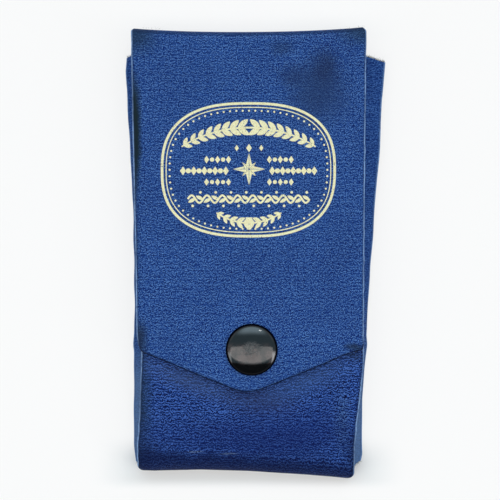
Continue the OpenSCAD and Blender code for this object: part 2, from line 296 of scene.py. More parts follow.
class Skin:
    """The points and faces of one mesh while it is put together."""

    def __init__(self) -> None:
        """Starts with nothing."""
        self.points: list[Array] = []
        self.laid: list[Array] = []
        self.gap: list[Array] = []
        self.faces: list[list[int]] = []
        self.count = 0

    def lay(self, points: Array, gap: Array | float = 0.0, laid: Array | None = None) -> Array:
        """Adds points.

        Args:
            points: their places, (..., 3), in mm.
            gap: each one's distance from the nearest edge of its blank, in mm.
            laid: where each one lies on the flat cloth, if that is not its place.

        Returns:
            Their numbers, in the same layout.
        """
        shape = points.shape[:-1]
        numbers = self.count + np.arange(int(np.prod(shape))).reshape(shape)
        self.points.append(points.reshape(-1, 3))
        self.laid.append((points if laid is None else laid).reshape(-1, 3))
        self.gap.append(np.broadcast_to(gap, shape).reshape(-1))
        self.count += numbers.size
        return numbers

    def join(
        self, rows: Array, round_rows: bool = False, flip: bool = False, keep: Array | None = None
    ) -> None:
        """Adds the faces between neighbours of a grid of point numbers.

        Args:
            rows: the grid, (R, C).
            round_rows: whether each row closes on itself.
            flip: whether the faces turn the other way.
            keep: which cells get a face, where not all do.
        """
        if round_rows:
            rows = np.concatenate((rows, rows[:, :1]), axis=1)
        quads = np.stack((rows[:-1, :-1], rows[1:, :-1], rows[1:, 1:], rows[:-1, 1:]), -1)
        chosen = quads[keep] if keep is not None else quads.reshape(-1, 4)
        self.faces += (chosen[:, ::-1] if flip else chosen).tolist()

    def slab(self, sides: Sequence[Array]) -> None:
        """Closes two grids of points: a face on each, and a wall round their rims.

        Args:
            sides: the two grids of point numbers, both (R, C).
        """
        self.join(sides[0])
        self.join(sides[1], flip=True)
        loops = [np.concatenate((s[:, 0], s[-1, 1:], s[-2::-1, -1], s[0, -2:0:-1])) for s in sides]
        self.join(np.stack(loops), round_rows=True)

    def cap(self, loop: Array) -> None:
        """Adds one face round a loop of points."""
        self.faces.append([int(k) for k in loop])

    def build(self, name: str, place: Place | None, material: Material) -> Piece:
        """Makes the mesh, with its faces turned outwards.

        Args:
            name: the piece's name.
            place: carries flat places to the frame, in mm, or None where they are already there.
            material: its finish.

        Returns:
            The object, at the origin.
        """
        points = np.concatenate(self.points)
        points = place(points) if place else points
        used, numbers = np.unique(np.concatenate(self.faces), return_inverse=True)
        ends = np.cumsum([len(f) for f in self.faces])[:-1]
        self.faces = [f.tolist() for f in np.split(numbers, ends)]
        points = points[used]
        mesh = bpy.data.meshes.new(name)
        mesh.from_pydata((points * MM).tolist(), [], self.turned_out(points))
        layers = (("laid", "FLOAT_VECTOR", "vector", self.laid), ("gap", "FLOAT", "value", self.gap))
        for key, kind, slot, rows in layers:
            layer = mesh.attributes.new(key, kind, "POINT")
            layer.data.foreach_set(slot, np.concatenate(rows)[used].astype(np.float32).ravel())
        mesh.polygons.foreach_set("use_smooth", np.ones(len(mesh.polygons), bool))
        mesh.set_sharp_from_angle(angle=SHARP_ANGLE)
        mesh.materials.append(material)
        mesh.update()
        piece = bpy.data.objects.new(name, mesh)
        bpy.context.scene.collection.objects.link(piece)
        return piece

    def turned_out(self, points: Array) -> list[list[int]]:
        """The faces, reversed if the volume that they enclose comes out negative.

        Args:
            points: the places of the points, (N, 3).

        Returns:
            The faces, all facing outwards.
        """
        fans = [(f[0], f[k], f[k + 1]) for f in self.faces for k in range(1, len(f) - 1)]
        a, b, c = points[np.array(fans)].transpose(1, 0, 2)
        inside = np.einsum("ij,ij->", a, np.cross(b, c))
        return [f[::-1] for f in self.faces] if inside < 0 else self.faces


# ---- blanks of cloth


@dataclass(frozen=True)
class Corner:
    """A corner of a blank: its place, the mesh edges on to the next corner, and its radius."""

    x: float
    run: float
    steps: int = 1
    radius: float = 0.0


def corner_arc(before: Array, here: Array, after: Array, radius: float) -> Array:
    """The arc that rounds a corner: its middle lies radius / sin(half the angle) along the bisector.

    Args:
        before: the corner before it, (2,).
        here: the corner.
        after: the corner after it.
        radius: in mm.

    Returns:
        The arc's points, (ARC_STEPS + 1, 2).
    """
    back = (before - here) / np.linalg.norm(before - here)
    on = (after - here) / np.linalg.norm(after - here)
    half = np.arccos(np.clip(back @ on, -1, 1)) / 2
    bisector = (back + on) / np.linalg.norm(back + on)
    middle = here + bisector * radius / np.sin(half)
    spoke = here + back * radius / np.tan(half) - middle
    swing = back[0] * on[1] - back[1] * on[0]
    turn = -np.sign(swing) * (np.pi - 2 * half) * np.linspace(0, 1, ARC_STEPS + 1)
    cos, sin = np.cos(turn), np.sin(turn)
    return middle + np.stack((spoke[0] * cos - spoke[1] * sin, spoke[0] * sin + spoke[1] * cos), -1)


def outline(corners: Sequence[Corner], inset: float) -> tuple[Array, list[int]]:
    """Moves an open outline inwards, rounds its corners and divides its edges.

    Each corner moves along (n1 + n2) / (1 + n1.n2), the sum of its edges' normals over that share.

    Args:
        corners: from the start of the left side, round the end, to the start of the right side.
        inset: how far inwards, in mm.

    Returns:
        The points, (N, 2), and the number of the middle point of each corner.
    """
    here = np.array([(c.x, c.run) for c in corners])
    ahead = np.diff(here, axis=0)
    ahead /= np.linalg.norm(ahead, axis=1, keepdims=True)
    normal = np.stack((-ahead[:, 1], ahead[:, 0]), 1)
    first, last = np.vstack((normal[:1], normal)), np.vstack((normal, normal[-1:]))
    moved = here + inset * (first + last) / (1 + np.sum(first * last, axis=1, keepdims=True))
    moved[[0, -1], 1] = here[[0, -1], 1]
    blocks = [
        corner_arc(moved[k - 1], moved[k], moved[k + 1], max(corner.radius - inset, LEAST_RADIUS))
        if corner.radius
        else moved[k : k + 1]
        for k, corner in enumerate(corners)
    ]
    pieces, middles, count = [], [], 0
    for k, corner in enumerate(corners):
        pieces.append(blocks[k])
        middles.append(count + len(blocks[k]) // 2)
        count += len(blocks[k])
        if k + 1 < len(corners) and corner.steps > 1:
            share = np.linspace(0, 1, corner.steps + 1)[1:-1, None]
            pieces.append(blocks[k][-1] * (1 - share) + blocks[k + 1][0] * share)
            count += corner.steps - 1
    return np.concatenate(pieces), middles


def coons(top: Array, end: Array, left: Array, right: Array, hold: float = 3.0) -> Array:
    """Fills four border lines with a grid, the Coons patch.

    A point is the blend of top and end by v to the power hold, plus the blend of left and right by
    u, less the same blend of the four corners, so every border line is met exactly.

    Args:
        top: the first row, (U, 2).
        end: the last row, (U, 2).
        left: the first column, (M, 2).
        right: the last column, (M, 2).
        hold: how much the end's shape keeps to the end.

    Returns:
        The grid, (M, U, 2).
    """
    u = lengths(end)[None, :, None]
    v = (lengths(left) ** hold)[:, None, None]
    corners = (1 - v) * ((1 - u) * top[0] + u * top[-1]) + v * ((1 - u) * end[0] + u * end[-1])
    return (1 - v) * top[None] + v * end[None] + (1 - u) * left[:, None] + u * right[:, None] - corners


@dataclass(frozen=True)
class Blank:
    """A blank of cloth: a left and a right side, and the end between them if it has a turned one.

    Without an end the blank is open at both of its short edges, where it meets its neighbours.
    """

    left: tuple[Corner, ...]
    right: tuple[Corner, ...]
    end: tuple[Corner, ...] = ()
    turned_end: bool = True
    columns: int = 78

    def chains(self, inset: float) -> tuple[Array, Array, Array]:
        """The left side, the end and the right side at an inset; both sides run towards the end.

        Args:
            inset: how far inwards, in mm.

        Returns:
            Left side, end and right side, each (N, 2).
        """
        if not self.turned_end:
            left, _ = outline(self.left, inset)
            right, _ = outline(tuple(Corner(-c.x, c.run, c.steps) for c in self.right), inset)
            right = right * (-1, 1)
            share = np.linspace(0, 1, self.columns)[:, None]
            return left, left[-1] * (1 - share) + right[-1] * share, right
        back = self.right[::-1]
        steps = [c.steps for c in self.right[-2::-1]] + [1]
        right_up = tuple(Corner(c.x, c.run, s, c.radius) for c, s in zip(back, steps))
        points, middle = outline(self.left + self.end + right_up, inset)
        first, last = middle[len(self.left) - 1], middle[len(self.left) + len(self.end)]
        return points[: first + 1], points[first : last + 1], points[last:][::-1]

    def grid(self, inset: float) -> Array:
        """The blank's face inside an inset, as a grid (M, U, 2).

        Args:
            inset: how far inwards, in mm.

        Returns:
            The grid, (M, U, 2).
        """
        left, end, right = self.chains(inset)
        share = lengths(end)[:, None]
        top = left[0] * (1 - share) + right[0] * share
        return coons(top, end, left, right)

    def border(self, inset: float) -> list[Array]:
        """The turned border at an inset: one line round the end, or one for each side.

        Args:
            inset: how far inwards, in mm.

        Returns:
            The lines, each (N, 2).
        """
        left, end, right = self.chains(inset)
        if not self.turned_end:
            return [left, right]
        return [np.concatenate((left, end[1:-1], right[::-1]))]

    def gap(self, flat: Array) -> Array:
        """Distance in mm from each place to the nearest turned edge, by the sides and the end's line.

        Args:
            flat: flat places, (..., 2).

        Returns:
            The distances, (...).
        """
        x, run = flat[..., 0], flat[..., 1]
        left, end, right = self.chains(0.0)
        near = np.minimum(
            x - np.interp(-run, -left[:, 1], left[:, 0]), np.interp(-run, -right[:, 1], right[:, 0]) - x
        )
        if self.turned_end:
            slope = np.hypot(np.diff(end[:, 0]), np.diff(end[:, 1]))
            lean = np.abs(np.diff(end[:, 0])) / slope
            middle = (end[1:, 0] + end[:-1, 0]) / 2
            above = run - np.interp(x, end[:, 0], end[:, 1])
            near = np.minimum(near, above * np.interp(x, middle, lean))
        return np.maximum(near, 0)


@dataclass(frozen=True)
class Hole:
    """A round hole through a sheet, in flat places: only cells well inside it are left out."""

    x: float
    run: float
    radius: float

    def cells(self, grid: Array) -> Array:
        """Which cells of a grid the hole takes."""
        middle = (grid[:-1, :-1] + grid[1:, 1:]) / 2
        return np.hypot(middle[..., 0] - self.x, middle[..., 1] - self.run) < self.radius


def with_depth(points: Array, depth: Array | float) -> Array:
    """Flat places (..., 2) and a depth as (..., 3)."""
    deep = np.broadcast_to(np.asarray(depth, float)[..., None], (*points.shape[:-1], 1))
    return np.concatenate((points, deep), axis=-1)


def sheet_skin(
    blank: Blank, face: Pair, profile: Sequence[Pair], back_depth: float, hole: Hole | None = None
) -> Skin:
    """A closed sheet on a blank: a face, an edge that follows a profile, and a back.

    The profile gives inset and depth from the face's border round to the back's border, and each
    of its points becomes a line round the blank.

    Args:
        blank: the outline.
        face: the inset and depth at which the face's grid starts.
        profile: inset and depth of each line of the edge.
        back_depth: the depth of the back's grid, which starts at the same inset as the face.
        hole: a hole through the sheet.

    Returns:
        The mesh so far, in flat places.
    """
    skin = Skin()
    grid = blank.grid(face[0])
    gap = blank.gap(grid)
    front = skin.lay(with_depth(grid, face[1]), gap)
    back = skin.lay(with_depth(grid, back_depth), gap)
    kept = ~hole.cells(grid) if hole else np.ones((grid.shape[0] - 1, grid.shape[1] - 1), bool)
    skin.join(front, keep=kept)
    skin.join(back, flip=True, keep=kept)
    if hole:
        edge_wall(skin, front, back, kept)
    if blank.turned_end:
        ends = [(lambda k: np.concatenate((k[:, 0], k[-1, 1:-1], k[::-1, -1])), False)]
    else:
        ends = [(lambda k: k[:, 0], False), (lambda k: k[:, -1], True)]
    borders = [blank.border(inset) for inset, _ in profile]
    for number, (pick, flip) in enumerate(ends):
        rows = [pick(front)]
        rows += [skin.lay(with_depth(b[number], n), d) for (d, n), b in zip(profile, borders)]
        ring = np.stack((*rows, pick(back)))
        skin.join(ring, flip=flip)
        skin.cap(ring[:, 0] if flip else ring[::-1, 0])
        skin.cap(ring[::-1, -1] if flip else ring[:, -1])
    skin.join(np.stack((front[0], back[0])), flip=True)
    if not blank.turned_end:
        skin.join(np.stack((front[-1], back[-1])))
    return skin


def edge_wall(skin: Skin, front: Array, back: Array, kept: Array) -> None:
    """Closes the rim of a hole: a wall along every grid edge between a kept and a missing cell.

    Args:
        skin: the mesh.
        front: the front's point numbers, (R, C).
        back: the back's.
        kept: which cells have a face, (R - 1, C - 1).
    """
    inside = kept.astype(int)
    rims = (
        (np.diff(inside, axis=1), np.s_[:-1, 1:-1], np.s_[1:, 1:-1], 1),
        (np.diff(inside, axis=0), np.s_[1:-1, :-1], np.s_[1:-1, 1:], -1),
    )
    for change, first, second, turned in rims:
        quads = np.stack((front[first], front[second], back[second], back[first]), -1)
        for sign in (1, -1):
            chosen = quads[change == sign]
            skin.faces += (chosen[:, ::-1] if sign == turned else chosen).tolist()


# ---- the case's own form


@dataclass(frozen=True)
class Case:
    """Sizes that the pieces share, in mm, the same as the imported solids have."""

    height: float = 10.55
    pocket_top: float = 8.3
    pocket_floor: float = 1.85
    pocket_roof: float = 6.45
    cloth: float = 0.45
    lining: float = 0.25
    turn_in: float = 7.0
    board: float = 0.7
    flap_board: float = 0.6
    waist_y: float = -32.65
    waist_left: float = -31.8
    waist_right: float = 33.8
    top_half: float = 34.65
    top_y: float = 62.55
    base_left: float = -32.75
    base_right: float = 31.15
    fold_start: float = 60.35
    fold_radius: float = 2.2
    split_y: float = 50.0
    mouth_y: float = 53.55
    crease_y: float = -62.55
    crease_slope: float = 0.013964
    tip: Pair = (-0.5, -45.45)
    stud: Pair = (0.85, -32.05)

    def edge_x(self, side: int, y: Array | float) -> Array:
        """The left (-1) or right (1) edge's x at y: straight to the waist, then on to the crease."""
        ends = (self.base_left, self.waist_left) if side < 0 else (self.base_right, self.waist_right)
        return np.interp(y, (self.crease_y, self.waist_y, self.top_y), (*ends, side * self.top_half))

    def crease(self, x: Array | float) -> Array | float:
        """Where the bottom crease runs at x."""
        return self.crease_y - self.crease_slope * x

    @property
    def fold_length(self) -> float:
        """Length of cloth round one of the top's folds."""
        return self.fold_radius * np.pi / 2

    @property
    def spine_run(self) -> float:
        """The run at the middle of the spine."""
        return self.fold_start + self.fold_length + self.height / 2 - self.fold_radius


CASE = Case()
FACE_DEPTH = CASE.cloth + 0.01


def top_side(side: int, steps: int = 92) -> tuple[Corner, ...]:
    """A side of the flap, or of the back's top, from the middle of the spine to the fold's start.

    Args:
        side: -1 for left, 1 for right.
        steps: mesh edges from the fold on.

    Returns:
        Its corners.
    """
    x = side * CASE.top_half
    fold_end = CASE.fold_start + CASE.fold_length
    return (
        Corner(x, CASE.spine_run, 5),
        Corner(x, fold_end, 14),
        Corner(float(CASE.edge_x(side, CASE.fold_start)), CASE.fold_start, steps),
    )


def flap_blank() -> Blank:
    """The flap with its fold and half of the spine: two long sides and a blunt point."""
    shoulders = [Corner(x, CASE.waist_y, 32, 1.5) for x in (CASE.waist_left, CASE.waist_right)]
    return Blank((*top_side(-1), shoulders[0]), (*top_side(1), shoulders[1]), (Corner(*CASE.tip, 32, 12.0),))


def back_top_blank() -> Blank:
    """The other half of the spine, its fold and the top of the back."""
    sides = [(*top_side(s, 12), Corner(float(CASE.edge_x(s, CASE.split_y)), CASE.split_y)) for s in (-1, 1)]
    return Blank(sides[0], sides[1], turned_end=False)


@dataclass(frozen=True)
class TopWrap:
    """Carries a blank of the flap, or of the back, round its fold to the middle of the spine.

    On the panel, run is y. Past the fold's start it turns about the fold's middle, and then goes
    straight along the spine. The board's thickness dies out at the fold, which has none.
    """

    blank: Blank
    board: float
    bow_drop: float = 0.9
    bow_rise: float = 1.25
    bow_power: float = 2.2
    bow_tilt: float = 0.2
    bow_zone: Pair = (44, 60)
    hinge: Pair = (1.2, 2.6)

    def relief(self, x: Array, run: Array) -> Array:
        """How far the cloth stands proud of its board: nothing here."""
        return np.zeros_like(x)

    def place(self, flat: Array) -> Array:
        """Flat places to the frame, both in mm.

        Args:
            flat: (..., 3) x, run and depth.

        Returns:
            (..., 3) x, y and z.
        """
        x, run, depth = np.moveaxis(flat, -1, 0)
        depth = depth - self.relief(x, run) * (depth < FACE_DEPTH)
        past = run - CASE.fold_start
        soft = 1 - smooth(np.abs(past - CASE.fold_length / 2), *self.hinge)
        depth = depth - soft * np.clip(depth - CASE.cloth, 0, self.board) * LEAST_SHARE
        turn = np.clip(past / CASE.fold_radius, 0, np.pi / 2)
        reach = CASE.fold_radius - depth
        y = CASE.fold_start + np.minimum(past, 0) + reach * np.sin(turn)
        z = CASE.height - CASE.fold_radius + reach * np.cos(turn) - np.maximum(past - CASE.fold_length, 0)
        return self.settle(x, y + self.bow(x) * smooth(y, *self.bow_zone), z)

    def bow(self, x: Array) -> Array:
        """How far the worn top edge stands above its straight line: rise |x|^p - drop + tilt x."""
        share = x / CASE.top_half
        return self.bow_rise * np.abs(share) ** self.bow_power - self.bow_drop + self.bow_tilt * share

    def settle(self, x: Array, y: Array, z: Array) -> Array:
        """The back's side of the case: the same shape, turned over."""
        return np.stack((x, y, CASE.height - z), -1)


@dataclass(frozen=True)
class FlapWrap(TopWrap):
    """The flap's side of the case, with the pillow and the worn outline of its panel."""

    pillow: float = 0.16
    pillow_zone: Pair = (0.6, 22)
    edge_zone: Pair = (0.6, 7)
    fold_zone: Pair = (60, 50)
    cap_zone: Pair = (7.5, 14)
    swell: Wave = Wave(0.06, 26, 5)
    pucker: Wave = Wave(0.02, 7, 6)
    nibble: Wave = Wave(0.06, 4, 21)
    nibble_zone: Pair = (33, 34.2)
    bulge_left: float = 0.5
    bulge_right: float = -0.08
    ledge_zone: Pair = (-16, -31)
    corner_r: float = 0.6
    corner_zone: tuple[Pair, Pair] = ((61.2, 63.0), (30, 34.6))
    lean: Line = (
        (-32.6, 0.05), (-31.6, 0.35), (-30.2, 0.85), (-28, 1.2), (-23.4, 1.1), (-17.5, 0.85),
        (-11.6, 0.65), (-5.7, 0.45), (0, 0.35), (17.8, 0.15), (40, 0.05),
    )
    ledge: Line = ((0, 0), (20, 0.5), (27.4, 1.0), (31, 0.95), (33.8, 0.45))

    def relief(self, x: Array, run: Array) -> Array:
        """A slight pillow and ripples over the board, flat under the cap's rim.

        Args:
            x: places across.
            run: places along.

        Returns:
            The height at each, in mm.
        """
        gap = self.blank.gap(np.stack((x, run), -1))
        inner = smooth(gap, *self.edge_zone) * smooth(run, *self.fold_zone)
        off_cap = smooth(np.hypot(x - CASE.stud[0], run - CASE.stud[1]), *self.cap_zone)
        waves = self.swell.at(x, run) + self.pucker.at(x, run)
        return (self.pillow * smooth(gap, *self.pillow_zone) + waves) * inner * off_cap

    def settle(self, x: Array, y: Array, z: Array) -> Array:
        """Sides that bulge a little between their ends, and a right shoulder that has been pushed up.

        Args:
            x: places across.
            y: places along.
            z: heights.

        Returns:
            The places, (..., 3).
        """
        belly = np.sin(np.pi * np.clip((y - CASE.waist_y) / (CASE.top_y - CASE.waist_y), 0, 1))
        lean = np.interp(y, *np.array(self.lean).T)
        bulge = np.where(x < 0, -self.bulge_left * belly - lean, self.bulge_right * belly)
        bulge *= (x / CASE.top_half) ** 2
        places, rises = np.array(self.ledge).T
        lifted = y + np.interp(x, places, rises) * smooth(y, *self.ledge_zone)
        nibble = self.nibble.at(y, z) * smooth(np.abs(x), *self.nibble_zone)
        top, side = self.corner_zone
        rubbed = self.corner_r * smooth(y, *top) ** 2 * smooth(np.abs(x), *side)
        return np.stack((x + bulge + nibble - np.sign(x) * rubbed, lifted, z), -1)


@dataclass(frozen=True)
class BodyWrap:
    """Carries the body's blank down the back, round the bottom fold and up the pocket front.

    Run is y down the back. Round the bottom it turns half a superellipse,
    y = a sin^(2/p) and z = b cos^(2/p), and then it runs on up the front.
    """

    fold_run: float = 15.6
    reach: Line = (
        (-32.75, 6.4), (-29, 6.45), (-23, 6.25), (-14.4, 5.93),
        (0.35, 6.18), (15, 6.89), (23.9, 7.46), (31.15, 7.9),
    )
    front_power: float = 1.55
    back_power: float = 2.1
    corner_r: float = 1.5
    corner_zone: Pair = (24, 31)
    crease_reach: float = 2.0
    soft_back: Pair = (2.2, 0.6)
    soft_front: Pair = (-2.4, -1.0)
    swell: Wave = Wave(0.05, 24, 8)
    pucker: Wave = Wave(0.025, 6, 9)
    relief_zone: tuple[Pair, Pair] = ((-9, -4), (0.6, 4))
    seat_zone: Pair = (4.5, 9)
    groove: float = 0.12
    groove_at: tuple[Pair, Pair] = ((0.0, 0.8), (2.2, 0.9))
    nibble: Wave = Wave(0.06, 4, 22)
    nibble_zone: Pair = (30.5, 31.5)
    flare: float = 0.35
    flare_zone: tuple[Pair, Pair] = ((-52, -62), (-28, -32))
    spread_zone: Pair = (26, 32)
    spread: Line = (
        (-60, 0.27), (-53, 0.25), (-47, 0.46), (-41, 0.56), (-36, 0.6), (-33, 0.3), (-26, 0),
    )

    @property
    def front_run(self) -> float:
        """The run at the front's lower crease."""
        return CASE.crease_y - self.fold_run

    def run_at(self, y: float) -> float:
        """The run of a height y on the pocket front."""
        return self.front_run - (y - CASE.crease_y)

    def blank(self) -> Blank:
        """Back, bottom and pocket front in one piece: waist, crease, crease, waist and mouth.

        Returns:
            The blank, with rounded mouth corners.
        """
        sides = []
        for side in (-1, 1):
            waist, base = (float(CASE.edge_x(side, y)) for y in (CASE.waist_y, CASE.crease_y))
            sides.append((
                Corner(float(CASE.edge_x(side, CASE.split_y)), CASE.split_y, 66),
                Corner(waist, CASE.waist_y, 26),
                Corner(base, CASE.crease_y + self.crease_reach, 6),
                Corner(base, CASE.crease_y, 44),
                Corner(base, self.front_run, 6),
                Corner(base, self.front_run - self.crease_reach, 30),
                Corner(waist, self.run_at(CASE.waist_y), 70),
                Corner(float(CASE.edge_x(side, CASE.mouth_y)), self.run_at(CASE.mouth_y), 76, 1.5),
            ))
        return Blank(sides[0], sides[1])

    def relief(self, x: Array, run: Array, outlines: Blank) -> Array:
        """How far the cloth stands proud: ripples, a ridge along the front's crease, a flat stud seat.

        Args:
            x: places across.
            run: places along.
            outlines: the blank.

        Returns:
            The height at each, in mm.
        """
        front = self.front_run - run
        gap = outlines.gap(np.stack((x, run), -1))
        seat = smooth(np.hypot(x - CASE.stud[0], front + CASE.crease_y - CASE.stud[1]), *self.seat_zone)
        ridge, hollow = (self.groove * np.exp(-(((front - at) / wide) ** 2)) for at, wide in self.groove_at)
        ripples = self.swell.at(x, run) + self.pucker.at(x, run)
        above, inside = self.relief_zone
        return (ripples + (ridge - hollow)) * smooth(front, *above) * smooth(gap, *inside) * seat

    def place(self, flat: Array) -> Array:
        """Flat places to the frame, both in mm.

        Args:
            flat: (..., 3) x, run and depth.

        Returns:
            (..., 3) x, y and z.
        """
        x, run, depth = np.moveaxis(flat, -1, 0)
        depth = depth - self.relief(x, run, self.blank()) * (depth < FACE_DEPTH)
        low, high = CASE.crease_y, self.front_run
        soft = smooth(run - low, *self.soft_back) * smooth(run - high, *self.soft_front)
        depth = depth - soft * np.clip(depth - CASE.cloth, 0, CASE.board) * LEAST_SHARE
        crease = CASE.crease(x)
        reach = np.interp(x, *np.array(self.reach).T) - depth
        half = CASE.pocket_top / 2
        turn = np.pi * np.clip((low - run) / self.fold_run, 0, 1)
        power = 2 / np.where(turn > np.pi / 2, self.front_power, self.back_power)
        y_fold = crease - reach * np.abs(np.sin(turn)) ** power
        z_fold = half - (half - depth) * np.sign(np.cos(turn)) * np.abs(np.cos(turn)) ** power
        y_back = crease + (run - low) * (CASE.split_y - crease) / (CASE.split_y - low)
        y_front = crease + (high - run) * (CASE.mouth_y - crease) / (CASE.mouth_y - low)
        where = (run >= low, run <= high)
        y = np.select(where, (y_back, y_front), y_fold)
        z = np.select(where, (depth, CASE.pocket_top - depth), z_fold)
        share = np.clip(1 - (1 - np.abs(np.sin(turn)) ** power) * reach / self.corner_r, 0, 1)
        rubbed = self.corner_r * (1 - np.sqrt(1 - share**2)) * smooth(np.abs(x), *self.corner_zone)
        return np.stack((x + self.worn_side(x, y, z) - np.sign(x) * rubbed, y, z), -1)

    def worn_side(self, x: Array, y: Array, z: Array) -> Array:
        """How far the pocket front's sides have moved in x: nibbled, flared at left, spread at right.

        Args:
            x: places across.
            y: places along.
            z: heights.

        Returns:
            The shift in x at each, in mm.
        """
        nibble = self.nibble.at(y, z) * smooth(np.abs(x), *self.nibble_zone)
        down, out = self.flare_zone
        flare = self.flare * smooth(y, *down) * smooth(x, *out)
        spread = np.interp(y, *np.array(self.spread).T) * smooth(x, *self.spread_zone)
        return (nibble - flare + spread) * (z > CASE.pocket_floor)


FLAP = FlapWrap(flap_blank(), CASE.flap_board)
BACK_TOP = TopWrap(back_top_blank(), CASE.board)
BODY = BodyWrap()


# ---- edges of cloth


EDGE_RADIUS = 0.55
STRIP_INSETS = (1.2, 2.6, 4.2, 5.8)
LINING_INSET = 2.0
LINING_BEVEL = 0.06
LINING_MIDDLE = 4.4


def turned_edge(board: float) -> list[Pair]:
    """The edge of cloth turned in over a board: out round the edge, in under it, and back inside.

    Args:
        board: the board's thickness, in mm.

    Returns:
        Inset and depth of each line, from the face's border to the back's border.
    """
    cloth, radius, turn = CASE.cloth, EDGE_RADIUS, np.linspace(0, np.pi / 2, 5)
    total = 2 * cloth + board
    outer = [(radius * (1 - np.sin(a)), radius * (1 - np.cos(a))) for a in turn]
    outer += [(radius * (1 - np.cos(a)), total - radius * (1 - np.sin(a))) for a in turn]
    strip = [(d, total) for d in (*STRIP_INSETS, CASE.turn_in)]
    inside = [(d, total - cloth) for d in (CASE.turn_in, STRIP_INSETS[2], STRIP_INSETS[0])]
    close = cloth + 0.1
    corner = [(close, total - cloth), (cloth, total - close), (cloth, close), (close, cloth)]
    return [(float(d), float(n)) for d, n in outer + strip + inside + corner]


def lapped_edge(board: float) -> list[Pair]:
    """The edge of a lining: down on the board, up over the turned-in cloth, and its cut edge.

    Args:
        board: the board's thickness, in mm.

    Returns:
        Inset and depth of each line, from the shown face's border round to the glued face's.
    """
    total = 2 * CASE.cloth + board
    top, low, step = total + CASE.lining, total - CASE.cloth, CASE.turn_in
    sunk, bevel, rim = low + CASE.lining, LINING_BEVEL, LINING_INSET
    shown = [(step + 0.9, sunk), (step + 0.35, sunk + 0.1), (step - 0.1, top - bevel)]
    shown += [(step - 0.6, top), (LINING_MIDDLE, top), (rim + bevel, top), (rim, top - bevel)]
    glued = [(rim, total), (LINING_MIDDLE, total), (step, total), (step + 0.1, low)]
    return shown + glued


# ---- finishes


class Bare(Enum):
    """Metals that the press stud shows."""

    BRASS = "brass"
    STEEL = "steel"


@dataclass(frozen=True)
class Spot:
    """A patch on cloth, stains, scuffs, painted shade and painted light alike: its place and half size in
    flat mm, its turn, strength and colour.
    """

    x: float
    run: float
    half_x: float
    half_run: float
    strength: float
    colour: str
    edge: float = 0.6
    broken: float = 0.0
    turn: float = 0.0


